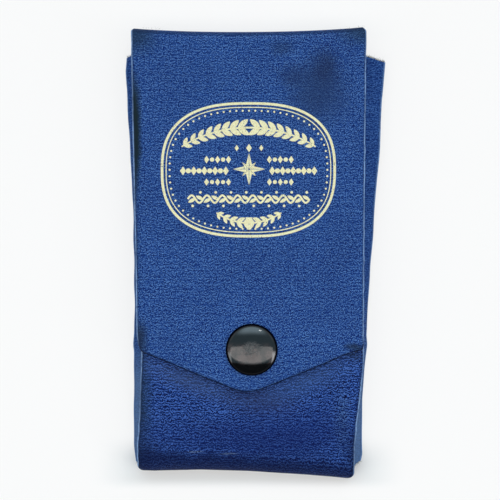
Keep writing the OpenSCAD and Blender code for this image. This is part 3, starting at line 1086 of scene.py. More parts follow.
@dataclass(frozen=True)
class Leathercloth:
    """Embossed and coated cloth, with its grain, its stains, the wear along its edges, and patches of painted
    light and shade.
    """

    name: str
    top: str
    body: str
    pit: str
    pitch: float
    swing: float
    drift: Pair
    crumb: Pair
    ridge: float
    crumble: float
    relief: float
    spots: tuple[Spot, ...] = ()
    rim_dark: str = "#111e3a"
    rim_pale: str = "#8aa8d6"
    rim_width: float = 1.6
    # Dark line along the flap's V edge: partly the cloth's dark edge, partly a painted shadow line where the
    # flap's edge stands over the pocket.
    v_edge_dark_and_painted_shadow: str = "#081230"
    rub_above: float = -1000.0

    def material(self) -> Material:
        """Builds the finish: wavy grain in flat places, then stains and patches of painted light and shade,
        then the rubbed rim and a dark line along the flap's V edge, partly the cloth's dark edge and partly
        painted shadow.

        Returns:
            The material.
        """
        graph = Graph(self.name)
        laid = graph.attribute("laid", 1)
        gap = graph.attribute("gap")
        grain = self.grain(graph, laid)
        broad = graph.noise(laid, 0.055, 3, 0.55)
        colour = graph.mix(grain.step(0.2, 0.5), self.pit, self.body)
        colour = graph.mix(grain.step(0.5, 0.85), colour, self.top)
        colour = graph.mix(broad.step(0.35, 0.75) * 0.2, colour, self.pit)
        for spot in self.spots:
            colour = graph.mix(self.mask(graph, laid, grain, spot), colour, spot.colour)
        nick = graph.noise(laid, 0.7, 3, 0.6)
        dark = gap.step(self.rim_width, 0.15) * (0.35 + nick.step(0.3, 0.7) * 0.5)
        colour = graph.mix(dark, colour, self.rim_dark)
        _, run, _ = graph.parts(laid)
        pale = gap.step(0.5, 0.28) * run.step(self.rub_above, self.rub_above + 3)
        patchy = graph.noise(laid, 0.06, 2).step(0.4, 0.55) * 0.45 + 0.55
        pale = pale * (0.45 + nick.step(0.35, 0.55) * 0.45) * patchy
        colour = graph.mix(pale, colour, self.rim_pale)
        # Below rub_above, on the flap's V edge: a dark line, partly the cloth's dark edge and partly painted
        # shadow.
        worn = gap.step(0.5, 0.15) * run.step(self.rub_above, self.rub_above - 2) * (0.45 + nick * 0.7)
        colour = graph.mix(worn.least(0.9), colour, self.v_edge_dark_and_painted_shadow)
        height = grain * (1 - gap.step(0.7, 0.1) * 0.5)
        rough = 0.6 - grain * 0.14 + broad * 0.06
        return graph.surface(
            Base_Color=colour, Roughness=rough, Normal=graph.bump(height, self.relief), Specular_IOR_Level=0.1
        )

    def grain(self, graph: Graph, laid: Term) -> Term:
        """The embossed grain's height, 0 to 1: ridges across the cloth whose phase noise bends and breaks.

        Args:
            graph: the finish's graph.
            laid: flat places, in mm.

        Returns:
            The height.
        """
        _, down, _ = graph.parts(laid)
        warp = graph.noise(graph.scaled(laid, (*self.drift, 1.0)), 1.0, 3, 0.55)
        ridge = (down * (2 * np.pi / self.pitch) + warp * self.swing).math("SINE")
        broken = graph.noise(graph.scaled(laid, (*self.crumb, 1.0)), 1.0, 1, 0.5)
        return (ridge * self.ridge + (broken - 0.5) * self.crumble + 0.5).most(0.0).least(1.0)

    def mask(self, graph: Graph, laid: Term, grain: Term, spot: Spot) -> Term:
        """How much of a spot shows: full within its oval, fading over its edge, broken up by noise.

        Args:
            graph: the finish's graph.
            laid: flat places, in mm.
            grain: the grain's height.
            spot: the stain, scuff or painted patch.

        Returns:
            The share, 0 to 1.
        """
        shaken = graph.noise_vector(laid, 0.22, 0.18 * min(spot.half_x, spot.half_run) + 0.3)
        inputs = {"Vector": shaken, "Location": (spot.x, spot.run, 0.0)}
        inputs["Rotation"] = (0.0, 0.0, float(np.radians(spot.turn)))
        inputs["Scale"] = (spot.half_x, spot.half_run, 1e6)
        local = graph.node("ShaderNodeMapping", inputs, vector_type="TEXTURE")
        mask = graph.length(local).step(1.0 + spot.edge / 2, 1.0 - spot.edge)
        if spot.broken:
            torn = graph.noise(laid, 1.6, 3, 0.65) * 0.6 + grain * 0.4
            mask = mask * torn.step(spot.broken - 0.1, spot.broken + 0.08)
        return mask * spot.strength


@dataclass(frozen=True)
class Bookcloth:
    """Thin woven cloth for linings and gussets: over and under threads, slubs and rubbed folds."""

    name: str
    thread: str
    shade: str
    rub: str
    pitch: float = 0.34
    rub_width: float = 0.8

    def material(self) -> Material:
        """Builds the finish: sine threads both ways in flat places, with noise in tone and height.

        Returns:
            The material.
        """
        graph = Graph(self.name)
        laid = graph.noise_vector(graph.attribute("laid", 1), 0.5, 0.05)
        gap = graph.attribute("gap")
        across, down, _ = graph.parts(laid)
        beat = 2 * np.pi / self.pitch
        warp = (across * beat).math("SINE")
        weft = (down * beat).math("SINE")
        weave = (warp * weft) * 0.25 + (abs(warp) + abs(weft)) * 0.2 + 0.25
        slub = graph.noise(graph.scaled(laid, (0.25, 3.0, 1.0)), 1.0, 2)
        broad = graph.noise(laid, 0.09, 3)
        colour = graph.mix(weave.step(0.1, 0.8) * 0.7 + slub * 0.3, self.shade, self.thread)
        colour = graph.mix(broad.step(0.4, 0.75) * 0.35, colour, self.shade)
        worn = gap.step(self.rub_width, 0.05) * graph.noise(laid, 0.9, 3, 0.6).step(0.4, 0.62)
        colour = graph.mix(worn * 0.8, colour, self.rub)
        rough = 0.78 + slub * 0.1
        return graph.surface(
            Base_Color=colour, Roughness=rough, Normal=graph.bump(weave, 0.05), Specular_IOR_Level=0.25
        )


@dataclass(frozen=True)
class Cardboard:
    """Grey-brown pulp board: fibres pressed flat."""

    name: str = "pulp_board"
    light: str = "#a08f6e"
    dark: str = "#6d5f45"

    def material(self) -> Material:
        """Builds the finish from stretched noise in object places.

        Returns:
            The material.
        """
        graph = Graph(self.name)
        here = graph.node("ShaderNodeTexCoord", output=3)
        fibre = graph.noise(graph.scaled(here, (1500.0, 400.0, 1500.0)), 1.0, 3, 0.6)
        fleck = graph.noise(here, 900.0, 2).step(0.62, 0.72)
        colour = graph.mix(fleck * 0.6, graph.mix(fibre, self.dark, self.light), self.dark)
        return graph.surface(Base_Color=colour, Roughness=0.85 + fibre * 0.1, Normal=graph.bump(fibre, 0.04))


@dataclass(frozen=True)
class Enamel:
    """Black baked enamel on a pressed cap: glossy, with hair scratches, a little dust, a matt rim and a
    painted reflection band across its middle.
    """

    name: str = "black_enamel"
    colour: str = "#07090b"
    dust: str = "#2a2e30"
    # Warm grey of the painted reflection band.
    painted_reflection_tint: str = "#5f4a45"
    rim: str = "#04060f"

    def material(self) -> Material:
        """Builds the finish: fine crossed scratches in the bump, dust and a mottled painted reflection band
        in the colour.

        Returns:
            The material.
        """
        graph = Graph(self.name)
        here = graph.here_mm()
        dust = graph.noise(here, 4.5, 2, 0.6).step(0.64, 0.74)
        first = graph.noise(graph.scaled(here, (0.4, 9.0, 1.0)), 1.0, 2)
        second = graph.noise(graph.scaled(here, (7.0, 0.8, 1.0)), 1.0, 2)
        scratch = first.step(0.6, 0.72).most(second.step(0.62, 0.74))
        smear = graph.noise(here, 0.7, 3, 0.6)
        across = graph.moved(here, (-CASE.stud[0], -CASE.stud[1], 0.0))
        out = graph.length(graph.scaled(across, (1.0, 1.0, 0.0)))
        worn = graph.noise(here, 2.2, 3, 0.65).step(0.45, 0.62) * out.step(3.6, 1.4)
        _, ahead, _ = graph.parts(across)
        # Painted reflection: a mottled warm grey band across the cap's middle, where the overhead box
        # reflects.
        painted_reflection_band = graph.noise(here, 0.34, 3, 0.6).step(0.38, 0.6) * ahead.step(-4.6, -2.8) * ahead.step(2.6, 0.2)
        colour = graph.mix(painted_reflection_band * 0.6, self.colour, self.painted_reflection_tint)
        colour = graph.mix((dust * 0.5).most(worn * 0.6), colour, self.dust)
        rough = 0.07 + smear.step(0.45, 0.8) * 0.1 + scratch * 0.06 + worn * 0.22
        height = scratch * 0.3 + smear * 0.5 + worn * 8.0
        gloss = {"Base Color": colour, "Roughness": rough, "Normal": graph.bump(height, 0.004), "IOR": 1.72}
        matt = {"Base Color": linear(self.rim), "Roughness": 0.9, "Specular IOR Level": 0.0}
        edge = graph.node("ShaderNodeBsdfPrincipled", matt)
        shine = graph.node("ShaderNodeBsdfPrincipled", gloss)
        return graph.end(graph.node("ShaderNodeMixShader", {0: out.step(7.06, 7.24), 1: shine, 2: edge}))


@dataclass(frozen=True)
class Metal:
    """A bare metal part of the press stud, tarnished in places."""

    kind: Bare
    bright: str
    dull: str
    rough: float

    def material(self) -> Material:
        """Builds the finish: tarnish from noise in object places, and a faint bump.

        Returns:
            The material.
        """
        graph = Graph(self.kind.value)
        here = graph.here_mm()
        tarnish = graph.noise(here, 0.8, 3, 0.6)
        grit = graph.noise(here, 9.0, 2)
        colour = graph.mix(tarnish.step(0.4, 0.75), self.bright, self.dull)
        rough = self.rough + tarnish * 0.2
        return graph.surface(Base_Color=colour, Metallic=1.0, Roughness=rough, Normal=graph.bump(grit, 0.006))


@dataclass(frozen=True)
class Foil:
    """Stamped gold foil, crinkled over the grain and flaked off in specks."""

    name: str = "gold_foil"
    bright: str = "#fff5c6"
    dull: str = "#ebd08e"
    share_lost: float = 0.43

    def material(self) -> Material:
        """Builds the finish: two tones, a crinkled bump, and holes through Alpha.

        Returns:
            The material.
        """
        graph = Graph(self.name)
        laid = graph.attribute("laid", 1)
        grain = graph.noise(laid, 2.6, 2, 0.6)
        tone = graph.noise(laid, 3.2, 3, 0.65)
        wear = graph.noise(laid, 0.25, 2)
        colour = graph.mix(tone.step(0.36, 0.53), self.dull, self.bright)
        held = grain * 0.6 + graph.noise(laid, 5.0, 2) * 0.25 + wear * 0.3
        return graph.surface(
            Base_Color=colour,
            Metallic=0.04,
            Roughness=0.42 + tone * 0.15,
            Alpha=held.step(self.share_lost - 0.02, self.share_lost + 0.05),
            Normal=graph.bump(grain, 0.05),
        )


@dataclass(frozen=True)
class Fibre:
    """Raw threads at a cut edge: grey-beige, some of them still blue."""

    name: str = "raw_threads"
    pale: str = "#b9b4a4"
    grey: str = "#7d8288"
    blue: str = "#3e5787"

    def material(self) -> Material:
        """Builds the finish: tone by noise from thread to thread.

        Returns:
            The material.
        """
        graph = Graph(self.name)
        laid = graph.attribute("laid", 1)
        tone = graph.noise(laid, 1.3, 2)
        colour = graph.mix(tone.step(0.35, 0.6), self.grey, self.pale)
        colour = graph.mix(graph.noise(laid, 0.8, 2).step(0.52, 0.66), colour, self.blue)
        return graph.surface(Base_Color=colour, Roughness=0.85 + tone * 0.1, Specular_IOR_Level=0.2)


# ---- cover and linings


FLAP_SPOTS = (
    Spot(-34.0, 30.0, 3.0, 20.0, 1.0, "#15252c", 0.45),
    Spot(-34.0, -6.0, 2.6, 30.0, 0.75, "#1d3050", 0.8),
    Spot(-34.0, 60.5, 7.0, 6.0, 0.75, "#1f3346", 0.9),
    Spot(34.0, 61.5, 8.0, 4.2, 0.75, "#1f3346", 0.9),
    Spot(20.2, 44.0, 9.6, 10.6, 0.66, "#22365c", 0.8, turn=8),
    Spot(22.4, 51.5, 4.4, 5.6, 0.6, "#1a2647", 0.9),
    Spot(12.5, 48.5, 4.2, 3.4, 0.5, "#1b2c55", 0.9),
    Spot(10.0, 57.4, 4.2, 2.6, 0.5, "#1b2c50", 0.9),
    Spot(31.2, -32.2, 3.4, 1.2, 0.7, "#18232e", 0.8),
    Spot(-31.6, -28.5, 2.8, 5.6, 0.85, "#1b283c", 0.8),
    # Painted shade: a dark line along the top fold, where the cloth curves away from the light.
    Spot(0.0, 61.9, 60.0, 0.9, 0.55, "#16284a", 0.6),
    # Painted highlight: a pale line along the top fold's ridge.
    Spot(4.0, 60.6, 30.0, 0.4, 0.22, "#7593bd", 0.8, 0.5),
)


def front_spots() -> tuple[Spot, ...]:
    """Marks on the pocket front, by their heights on it: grime, scuffs, darker patches, painted light along
    the flap's V edge and painted shade round the bottom fold.

    Returns:
        The spots, in flat places.
    """
    marks = (
        # A darker patch just below the flap's tip.
        (4.0, -47.5, 11.0, 5.0, 0.5, "#2a2f52", 0.9, 0.0, 6.0),
        (-33.2, -47.0, 4.6, 22.0, 0.8, "#20344c", 0.8),
        (-31.0, -62.5, 8.0, 4.0, 0.5, "#0c1830", 1.2),
        (32.0, -62.5, 3.6, 7.0, 0.6, "#0c1830", 0.9),
        (27.5, -53.0, 2.4, 9.0, 0.5, "#5b7c9b", 0.9, 0.56),
        (-15.8, -62.6, 2.4, 0.4, 0.8, "#8ea6c8", 0.8, 0.46, -2.0),
        (-6.0, -63.3, 2.8, 0.35, 0.8, "#8ea6c8", 0.8, 0.48, -3.0),
        (30.5, -33.6, 3.6, 1.4, 0.5, "#1c2734", 0.9, 0.0, 20.0),
        # Painted light: pale strips along both sides of the flap's V edge, lifting the shade under it.
        (-17.5, -41.6, 16.0, 3.6, 0.5, "#45577f", 1.2, 0.0, 21.0),
        (17.0, -41.0, 16.0, 4.4, 0.5, "#3d5685", 1.2, 0.0, -22.0),
        (14.0, -56.5, 21.0, 7.0, 0.5, "#08226a", 1.2, 0.0, -4.0),
        (-6.0, -58.5, 24.0, 5.0, 0.35, "#08226a", 1.2, 0.0, 2.0),
        # Darker towards the bottom crease.
        (2.0, -61.0, 44.0, 11.0, 0.42, "#021244", 1.4),
    )
    spots = [Spot(x, BODY.run_at(y), hx, hy, *rest) for x, y, hx, hy, *rest in marks]
    # Painted shade: a dark band round the bottom fold, which turns away from the light.
    fold_painted_shade = Spot(0.0, BODY.front_run + 9.0, 300.0, 8.0, 0.74, "#000d3a", 0.3, turn=2.6)
    return (*spots, fold_painted_shade, Spot(16.0, BODY.front_run + 7.4, 20.0, 0.9, 0.55, "#4d668d", 0.8, 0.4))


BACK_CLOTH = Leathercloth(
    "back_leathercloth", "#5f88c1", "#19438b", "#030f4c",
    pitch=0.9, swing=20.0, drift=(0.9, 0.7), crumb=(2.9, 3.8), ridge=0.14, crumble=2.0, relief=0.06,
)
FLAP_CLOTH = replace(
    BACK_CLOTH, name="flap_leathercloth", spots=FLAP_SPOTS, rim_width=1.0, rub_above=-31.0
)
BODY_CLOTH = Leathercloth(
    "body_leathercloth", "#5079cb", "#05307e", "#000028",
    pitch=0.88, swing=20.0, drift=(0.8, 0.6), crumb=(3.0, 3.8), ridge=0.3, crumble=2.7, relief=0.09,
    spots=front_spots(),
)
GUSSET_CLOTH = Leathercloth(
    "gusset_leathercloth", "#466fac", "#1c4082", "#06245e",
    pitch=0.6, swing=22.0, drift=(1.0, 1.4), crumb=(2.0, 2.8), ridge=0.27, crumble=1.2, relief=0.03,
    # Painted light: the lower part of the gussets is painted paler, where they catch more light.
    spots=(Spot(0.0, -56.0, 30.0, 24.0, 0.44, "#6e88a6", 0.45),),
    rim_dark="#2a4168", rim_pale="#6f8fbd", rim_width=1.1,
)


@dataclass(frozen=True)
class Cover:
    """The leathercloth: flap, top of the back, and the body with its pocket front."""

    face_inset: float = 0.9
    flap_hole: float = 2.4
    front_hole: float = 3.2

    def sheet(self, blank: Blank, board: float, hole: Hole | None = None) -> Skin:
        """Cloth on a board, turned in round its edges."""
        return sheet_skin(blank, (self.face_inset, 0.0), turned_edge(board), CASE.cloth, hole)

    def flap(self) -> Piece:
        """The flap's cloth, over its fold to the middle of the spine.

        Returns:
            The piece.
        """
        hole = Hole(*CASE.stud, self.flap_hole)
        skin = self.sheet(FLAP.blank, CASE.flap_board, hole)
        piece = skin.build("flap_cloth", FLAP.place, FLAP_CLOTH.material())
        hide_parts("flap_cover", "upper_fold")
        return blend_top(piece, underneath=False)

    def back_top(self) -> Piece:
        """The cloth from the middle of the spine round the lower fold to the top of the back.

        Returns:
            The piece.
        """
        skin = self.sheet(BACK_TOP.blank, CASE.board)
        piece = skin.build("spine_cloth", BACK_TOP.place, BACK_CLOTH.material())
        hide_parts("spine_cover", "lower_fold")
        return blend_top(piece, underneath=True)

    def body(self) -> Piece:
        """The cloth of the back, the bottom fold and the pocket front.

        Returns:
            The piece.
        """
        hole = Hole(CASE.stud[0], BODY.run_at(CASE.stud[1]), self.front_hole)
        skin = self.sheet(BODY.blank(), CASE.board, hole)
        piece = skin.build("body_cloth", BODY.place, BODY_CLOTH.material())
        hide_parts("back_cover", "base_cover", "base_crease", "pocket_cover")
        return blend_body(piece)


def blend_top(piece: Piece, underneath: bool) -> Piece:
    """Bakes a piece's transform into its mesh; it is not bent with the fold that it crosses, flap to spine or
    spine to back.

    Args:
        piece: the piece.
        underneath: whether it is at the lower fold.

    Returns:
        The same piece.
    """
    start, top = CASE.fold_start * MM, CASE.top_y * MM
    if underneath:
        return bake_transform(piece)
    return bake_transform(piece)


def blend_body(piece: Piece) -> Piece:
    """Bakes a piece's transform into its mesh; it is not made to open with the pocket."""
    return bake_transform(piece)


@dataclass(frozen=True)
class Linings:
    """The inside cloth: one sheet on the flap, one at the top of the back, one in the pocket."""

    face_inset: float = 8.6
    socket_hole: float = 2.9
    post_hole: float = 2.6
    finish: Bookcloth = Bookcloth("lining_cloth", "#4f6a94", "#2f4468", "#7c8ea8")

    def sheet(
        self, name: str, blank: Blank, place: Place, board: float, hole: Hole | None, material: Material
    ) -> Piece:
        """A lining whose middle lies on its board and whose border laps over the turned-in cloth.

        Args:
            name: the piece's name.
            blank: its outline.
            place: carries flat places to the frame.
            board: thickness of its board, in mm.
            hole: a hole through it.
            material: its finish.

        Returns:
            The piece.
        """
        low = CASE.cloth + board
        skin = sheet_skin(blank, (self.face_inset, low + CASE.lining), lapped_edge(board), low, hole)
        piece = skin.build(name, place, material)
        return piece

    def build(self) -> list[Piece]:
        """Makes the three linings.

        Returns:
            The pieces.
        """
        material = self.finish.material()
        socket = Hole(*CASE.stud, self.socket_hole)
        post = Hole(CASE.stud[0], BODY.run_at(CASE.stud[1]), self.post_hole)
        flap = self.sheet("flap_inner_lining", FLAP.blank, FLAP.place, CASE.flap_board, socket, material)
        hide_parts("flap_lining")
        top = self.sheet("spine_inner_lining", BACK_TOP.blank, BACK_TOP.place, CASE.board, None, material)
        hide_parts("spine_lining")
        pocket = self.sheet("pocket_inner_lining", BODY.blank(), BODY.place, CASE.board, post, material)
        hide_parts("back_lining", "base_lining", "pocket_lining")
        return [blend_top(flap, False), blend_top(top, True), blend_body(pocket)]


@dataclass(frozen=True)
class FlapBoard:
    """The flap's board, cut to the worn outline of its cloth."""

    material: Material
    play: float = 0.02
    inset: float = 0.5
    face_inset: float = 1.2

    def build(self) -> Piece:
        """A slab between the flap's cloth and its lining.

        Returns:
            The piece.
        """
        blank = Blank(FLAP.blank.left[2:], FLAP.blank.right[2:], FLAP.blank.end)
        top, low = CASE.cloth + self.play, CASE.cloth + CASE.flap_board - self.play
        hole = Hole(*CASE.stud, Cover.flap_hole)
        rim = [(self.inset, top), (self.inset, low)]
        skin = sheet_skin(blank, (self.face_inset, top), rim, low, hole)
        piece = skin.build("flap_stiffener", FLAP.place, self.material)
        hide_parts("flap_board")
        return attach(piece, "flap")


@dataclass(frozen=True)
class BackBoard:
    """The back's board, whose top edge is bowed with the worn fold above it."""

    material: Material
    top_y: float = 60.35
    set_back: float = 0.6
    crease_zone_y: float = -50
    rows: int = 80
    columns: int = 40

    def build(self) -> Piece:
        """A slab between the sloping side edges, from the bottom crease to the bowed top.

        Returns:
            The piece.
        """
        steps = np.linspace(CASE.crease_y, self.top_y, self.rows), np.linspace(0, 1, self.columns)
        y, share = np.meshgrid(*steps, indexing="ij")
        left, right = (CASE.edge_x(side, y) - side * CASE.cloth for side in (-1, 1))
        x = left + (right - left) * share
        y = y + (CASE.crease(x) - CASE.crease_y) * smooth(y, self.crease_zone_y, CASE.crease_y)
        y = y + (np.minimum(BACK_TOP.bow(x), 0) - self.set_back) * smooth(y, *BACK_TOP.bow_zone)
        skin = Skin()
        heights = (CASE.cloth, CASE.cloth + CASE.board)
        skin.slab([skin.lay(np.stack((x, y, np.full_like(x, z)), -1)) for z in heights])
        piece = skin.build("back_stiffener", None, self.material)
        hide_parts("back_board")
        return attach(piece, "back")


@dataclass(frozen=True)
class SpineBoard:
    """The spine's board, bowed with the worn top edge."""

    material: Material
    low: float = 3.3
    high: float = 8.0
    end_gap: float = 0.1
    face_depth: float = 0.47
    columns: int = 60
    rows: int = 8

    def build(self) -> Piece:
        """A slab behind the spine's cloth: its run is its height above the middle of the spine.

        Returns:
            The piece.
        """
        half = CASE.top_half - CASE.cloth - self.end_gap
        heights = np.linspace(self.low, self.high, self.rows)
        x, z = np.meshgrid(np.linspace(-half, half, self.columns), heights)
        run = CASE.spine_run - (z - CASE.height / 2)
        skin = Skin()
        depths = (self.face_depth, CASE.cloth + CASE.flap_board)
        skin.slab([skin.lay(np.stack((x, run, np.full_like(x, d)), -1)) for d in depths])
        piece = skin.build("spine_stiffener", self.place, self.material)
        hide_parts("spine_board")
        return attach(piece, "spine")

    def place(self, flat: Array) -> Array:
        """Flat places on the spine, (..., 3), to the frame in mm, with the top edge's bow."""
        x, run, depth = np.moveaxis(flat, -1, 0)
        return np.stack((x, CASE.top_y - depth + FLAP.bow(x), CASE.height / 2 + CASE.spine_run - run), -1)


# ---- gussets and raw threads


@dataclass(frozen=True)
class Gusset:
    """A folded gusset: glued inside the back and the pocket front, and creased outwards between them."""

    side: int
    crease: Line
    tuck: float
    slant: float = 1.5
    lap: float = 6.0
    thick: float = 0.42
    top_y: float = 54.7
    foot: float = 1.3
    slant_zone: float = 16.0
    foot_zone: float = 8.0
    shut_inset: float = 0.25
    squeeze: Pair = (0.55, 0.45)
    wave: float = 0.1
    wave_length: float = 11.0
    rows: int = 120
    segments: tuple[int, ...] = (8, 18, 18, 8)
    passes: int = 4

    def section(self, y: Array) -> tuple[Array, Array]:
        """The gusset's cut across: straight runs between five corners, softened.

        Each softening pass sets a point to a quarter of each neighbour and half of itself.

        Args:
            y: the rows' heights, (R,).

        Returns:
            x and z of the middle surface, each (R, S).
        """
        edge = CASE.edge_x(self.side, y)
        places, reach = np.array(sorted(self.crease)).T
        wave = Wave(self.wave, self.wave_length, 31 + self.side)
        out = np.interp(y, places, reach) + wave.at(y, y * 0)
        open_share = smooth(y, CASE.crease_y - self.tuck - 0.5, CASE.crease_y + 3)
        middle = (CASE.pocket_floor + CASE.pocket_roof) / 2
        half = (CASE.pocket_roof - CASE.pocket_floor - self.thick) / 2
        half = half * (self.squeeze[0] + self.squeeze[1] * open_share)
        lap = edge - self.side * self.lap
        shut = edge - self.side * self.shut_inset
        corners_x = np.stack((lap, shut, out, shut, lap), 1)
        low_z, high_z = middle - half, middle + half
        corners_z = np.stack((low_z, low_z, middle + 0 * half, high_z, high_z), 1)
        last = len(self.segments)
        at = np.concatenate([k + np.arange(n) / n for k, n in enumerate(self.segments)] + [[last]])
        low = np.minimum(at.astype(int), last - 1)
        share = at - low
        x = corners_x[:, low] * (1 - share) + corners_x[:, low + 1] * share
        z = corners_z[:, low] * (1 - share) + corners_z[:, low + 1] * share
        for _ in range(self.passes):
            x[:, 1:-1] = x[:, :-2] / 4 + x[:, 1:-1] / 2 + x[:, 2:] / 4
            z[:, 1:-1] = z[:, :-2] / 4 + z[:, 1:-1] / 2 + z[:, 2:] / 4
        return x, z

    def middle(self) -> Array:
        """The middle surface: its crease dips at the cut top and rises at the foot.

        Returns:
            The surface, (R, S, 3).
        """
        low_y = CASE.crease_y - self.tuck
        y = low_y + (self.top_y - low_y) * np.linspace(1, 0, self.rows)
        x, z = self.section(y)
        columns = np.linspace(-1, 1, x.shape[1])
        out = smooth(1 - np.abs(columns), 0.28, 1.0)
        drop = self.slant * out * smooth(y, self.top_y - self.slant_zone, self.top_y)[:, None]
        lift = self.foot * out * smooth(y, low_y + self.foot_zone, low_y)[:, None]
        return np.stack((x, y[:, None] - drop + lift, z), -1)

    def build(self, name: str, node: str, material: Material) -> Piece:
        """Thickens the middle surface along its normal in the cut, and closes its edges.

        Args:
            name: the piece's name.
            node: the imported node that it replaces.
            material: its finish.

        Returns:
            The piece.
        """
        middle = self.middle()
        along = np.gradient(middle[..., [0, 2]], axis=1)
        along /= np.linalg.norm(along, axis=-1, keepdims=True)
        normal = np.stack((-along[..., 1], 0 * along[..., 0], along[..., 0]), -1)
        steps = np.linalg.norm(np.diff(middle, axis=1), axis=-1)
        across = np.concatenate((np.zeros((self.rows, 1)), np.cumsum(steps, axis=1)), axis=1)
        fold = across[:, across.shape[1] // 2, None]
        laid = np.stack((across - fold, middle[..., 1], 0 * across), -1)
        off = normal * self.thick / 2
        skin = Skin()
        skin.slab([skin.lay(middle + side * off, np.abs(across - fold), laid) for side in (1, -1)])
        piece = skin.build(name, None, material)
        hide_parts(node)
        return blend_body(piece)


LEFT_GUSSET = Gusset(
    -1,
    (
        (54.8, -36.5), (51, -36.7), (41, -36.2), (27, -35.3), (10.7, -34.4), (-17.7, -34.1), (-27.0, -34.2),
        (-31.0, -34.6), (-33.2, -34.3), (-46.0, -34.15), (-55.0, -34.25), (-60.5, -34.1), (-66.4, -33.5),
    ),
    3.7,
    slant=0.5,
    top_y=55.05,
    foot=0.5,
)
RIGHT_GUSSET = Gusset(
    1,
    (
        (54.8, 40.9), (50, 40.6), (46.5, 40.3), (42, 39.8), (33, 39.6), (27.7, 39.2), (18, 38.3), (1.8, 37.1),
        (-7.3, 36.2), (-20.7, 35.5), (-28.4, 34.9), (-30.8, 35.2), (-38.6, 34.4), (-47, 33.75),
        (-56.5, 33.7), (-64.5, 33.9), (-67, 33.4),
    ),
    4.3,
)


@dataclass(frozen=True)
class Tuft:
    """Raw threads that stand out of a cut edge."""

    count: int
    length: Pair
    radius: float = 0.035
    spread: float = 0.6
    curl: float = 0.5
    seed: int = 1
    rings: int = 5
    sides: int = 3
    buried: float = 0.15
    scatter: float = 0.16
    flatness: float = 0.4
    taper: float = 0.75
    floor_gap: float = 0.02

    def add(self, skin: Skin, roots: Array, ahead: Array, normal: Array) -> None:
        """Adds threads along a line of roots.

        A thread's middle is root + a t + b t^2, with a near the edge's own outward direction and b
        a random bend, and it tapers to a point.

        Args:
            skin: the mesh they go into.
            roots: points along the cut edge, (N, 3).
            ahead: the direction out of the edge, (3,).
            normal: the direction across the cloth, (3,).
        """
        draw = np.random.default_rng(self.seed)
        place = draw.uniform(0, len(roots) - 1, self.count)
        low = np.minimum(place.astype(int), len(roots) - 2)
        share = (place - low)[:, None]
        root = roots[low] * (1 - share) + roots[low + 1] * share
        along = (roots[-1] - roots[0]) / np.linalg.norm(roots[-1] - roots[0])
        root = root + normal * draw.uniform(-self.scatter, self.scatter, (self.count, 1))
        root = root - ahead * self.buried
        lean = np.clip(draw.normal(0, self.spread, (self.count, 3)), -1, 1)
        way = ahead + lean[:, :1] * along + lean[:, 1:2] * self.flatness * normal
        way *= draw.uniform(*self.length, (self.count, 1))
        bend = draw.normal(0, self.curl, (self.count, 3)) * np.linalg.norm(way, axis=1, keepdims=True)
        t = np.linspace(0, 1, self.rings)[None, :, None]
        line = root[:, None] + way[:, None] * t + bend[:, None] * t * t
        taper = self.radius * (1 - self.taper * t)
        turn = np.linspace(0, 2 * np.pi, self.sides, endpoint=False)
        spin = np.cos(turn)[:, None] * along + np.sin(turn)[:, None] * normal
        tube = line[:, :, None] + taper[..., None] * spin
        tube[..., 2] = np.maximum(tube[..., 2], self.floor_gap)
        rows = skin.lay(tube)
        beside = np.roll(rows, -1, 2)
        quads = np.stack((rows[:, :-1], beside[:, :-1], beside[:, 1:], rows[:, 1:]), -1)
        skin.faces += quads.reshape(-1, 4).tolist()
        skin.faces += rows[:, 0, ::-1].tolist() + rows[:, -1].tolist()


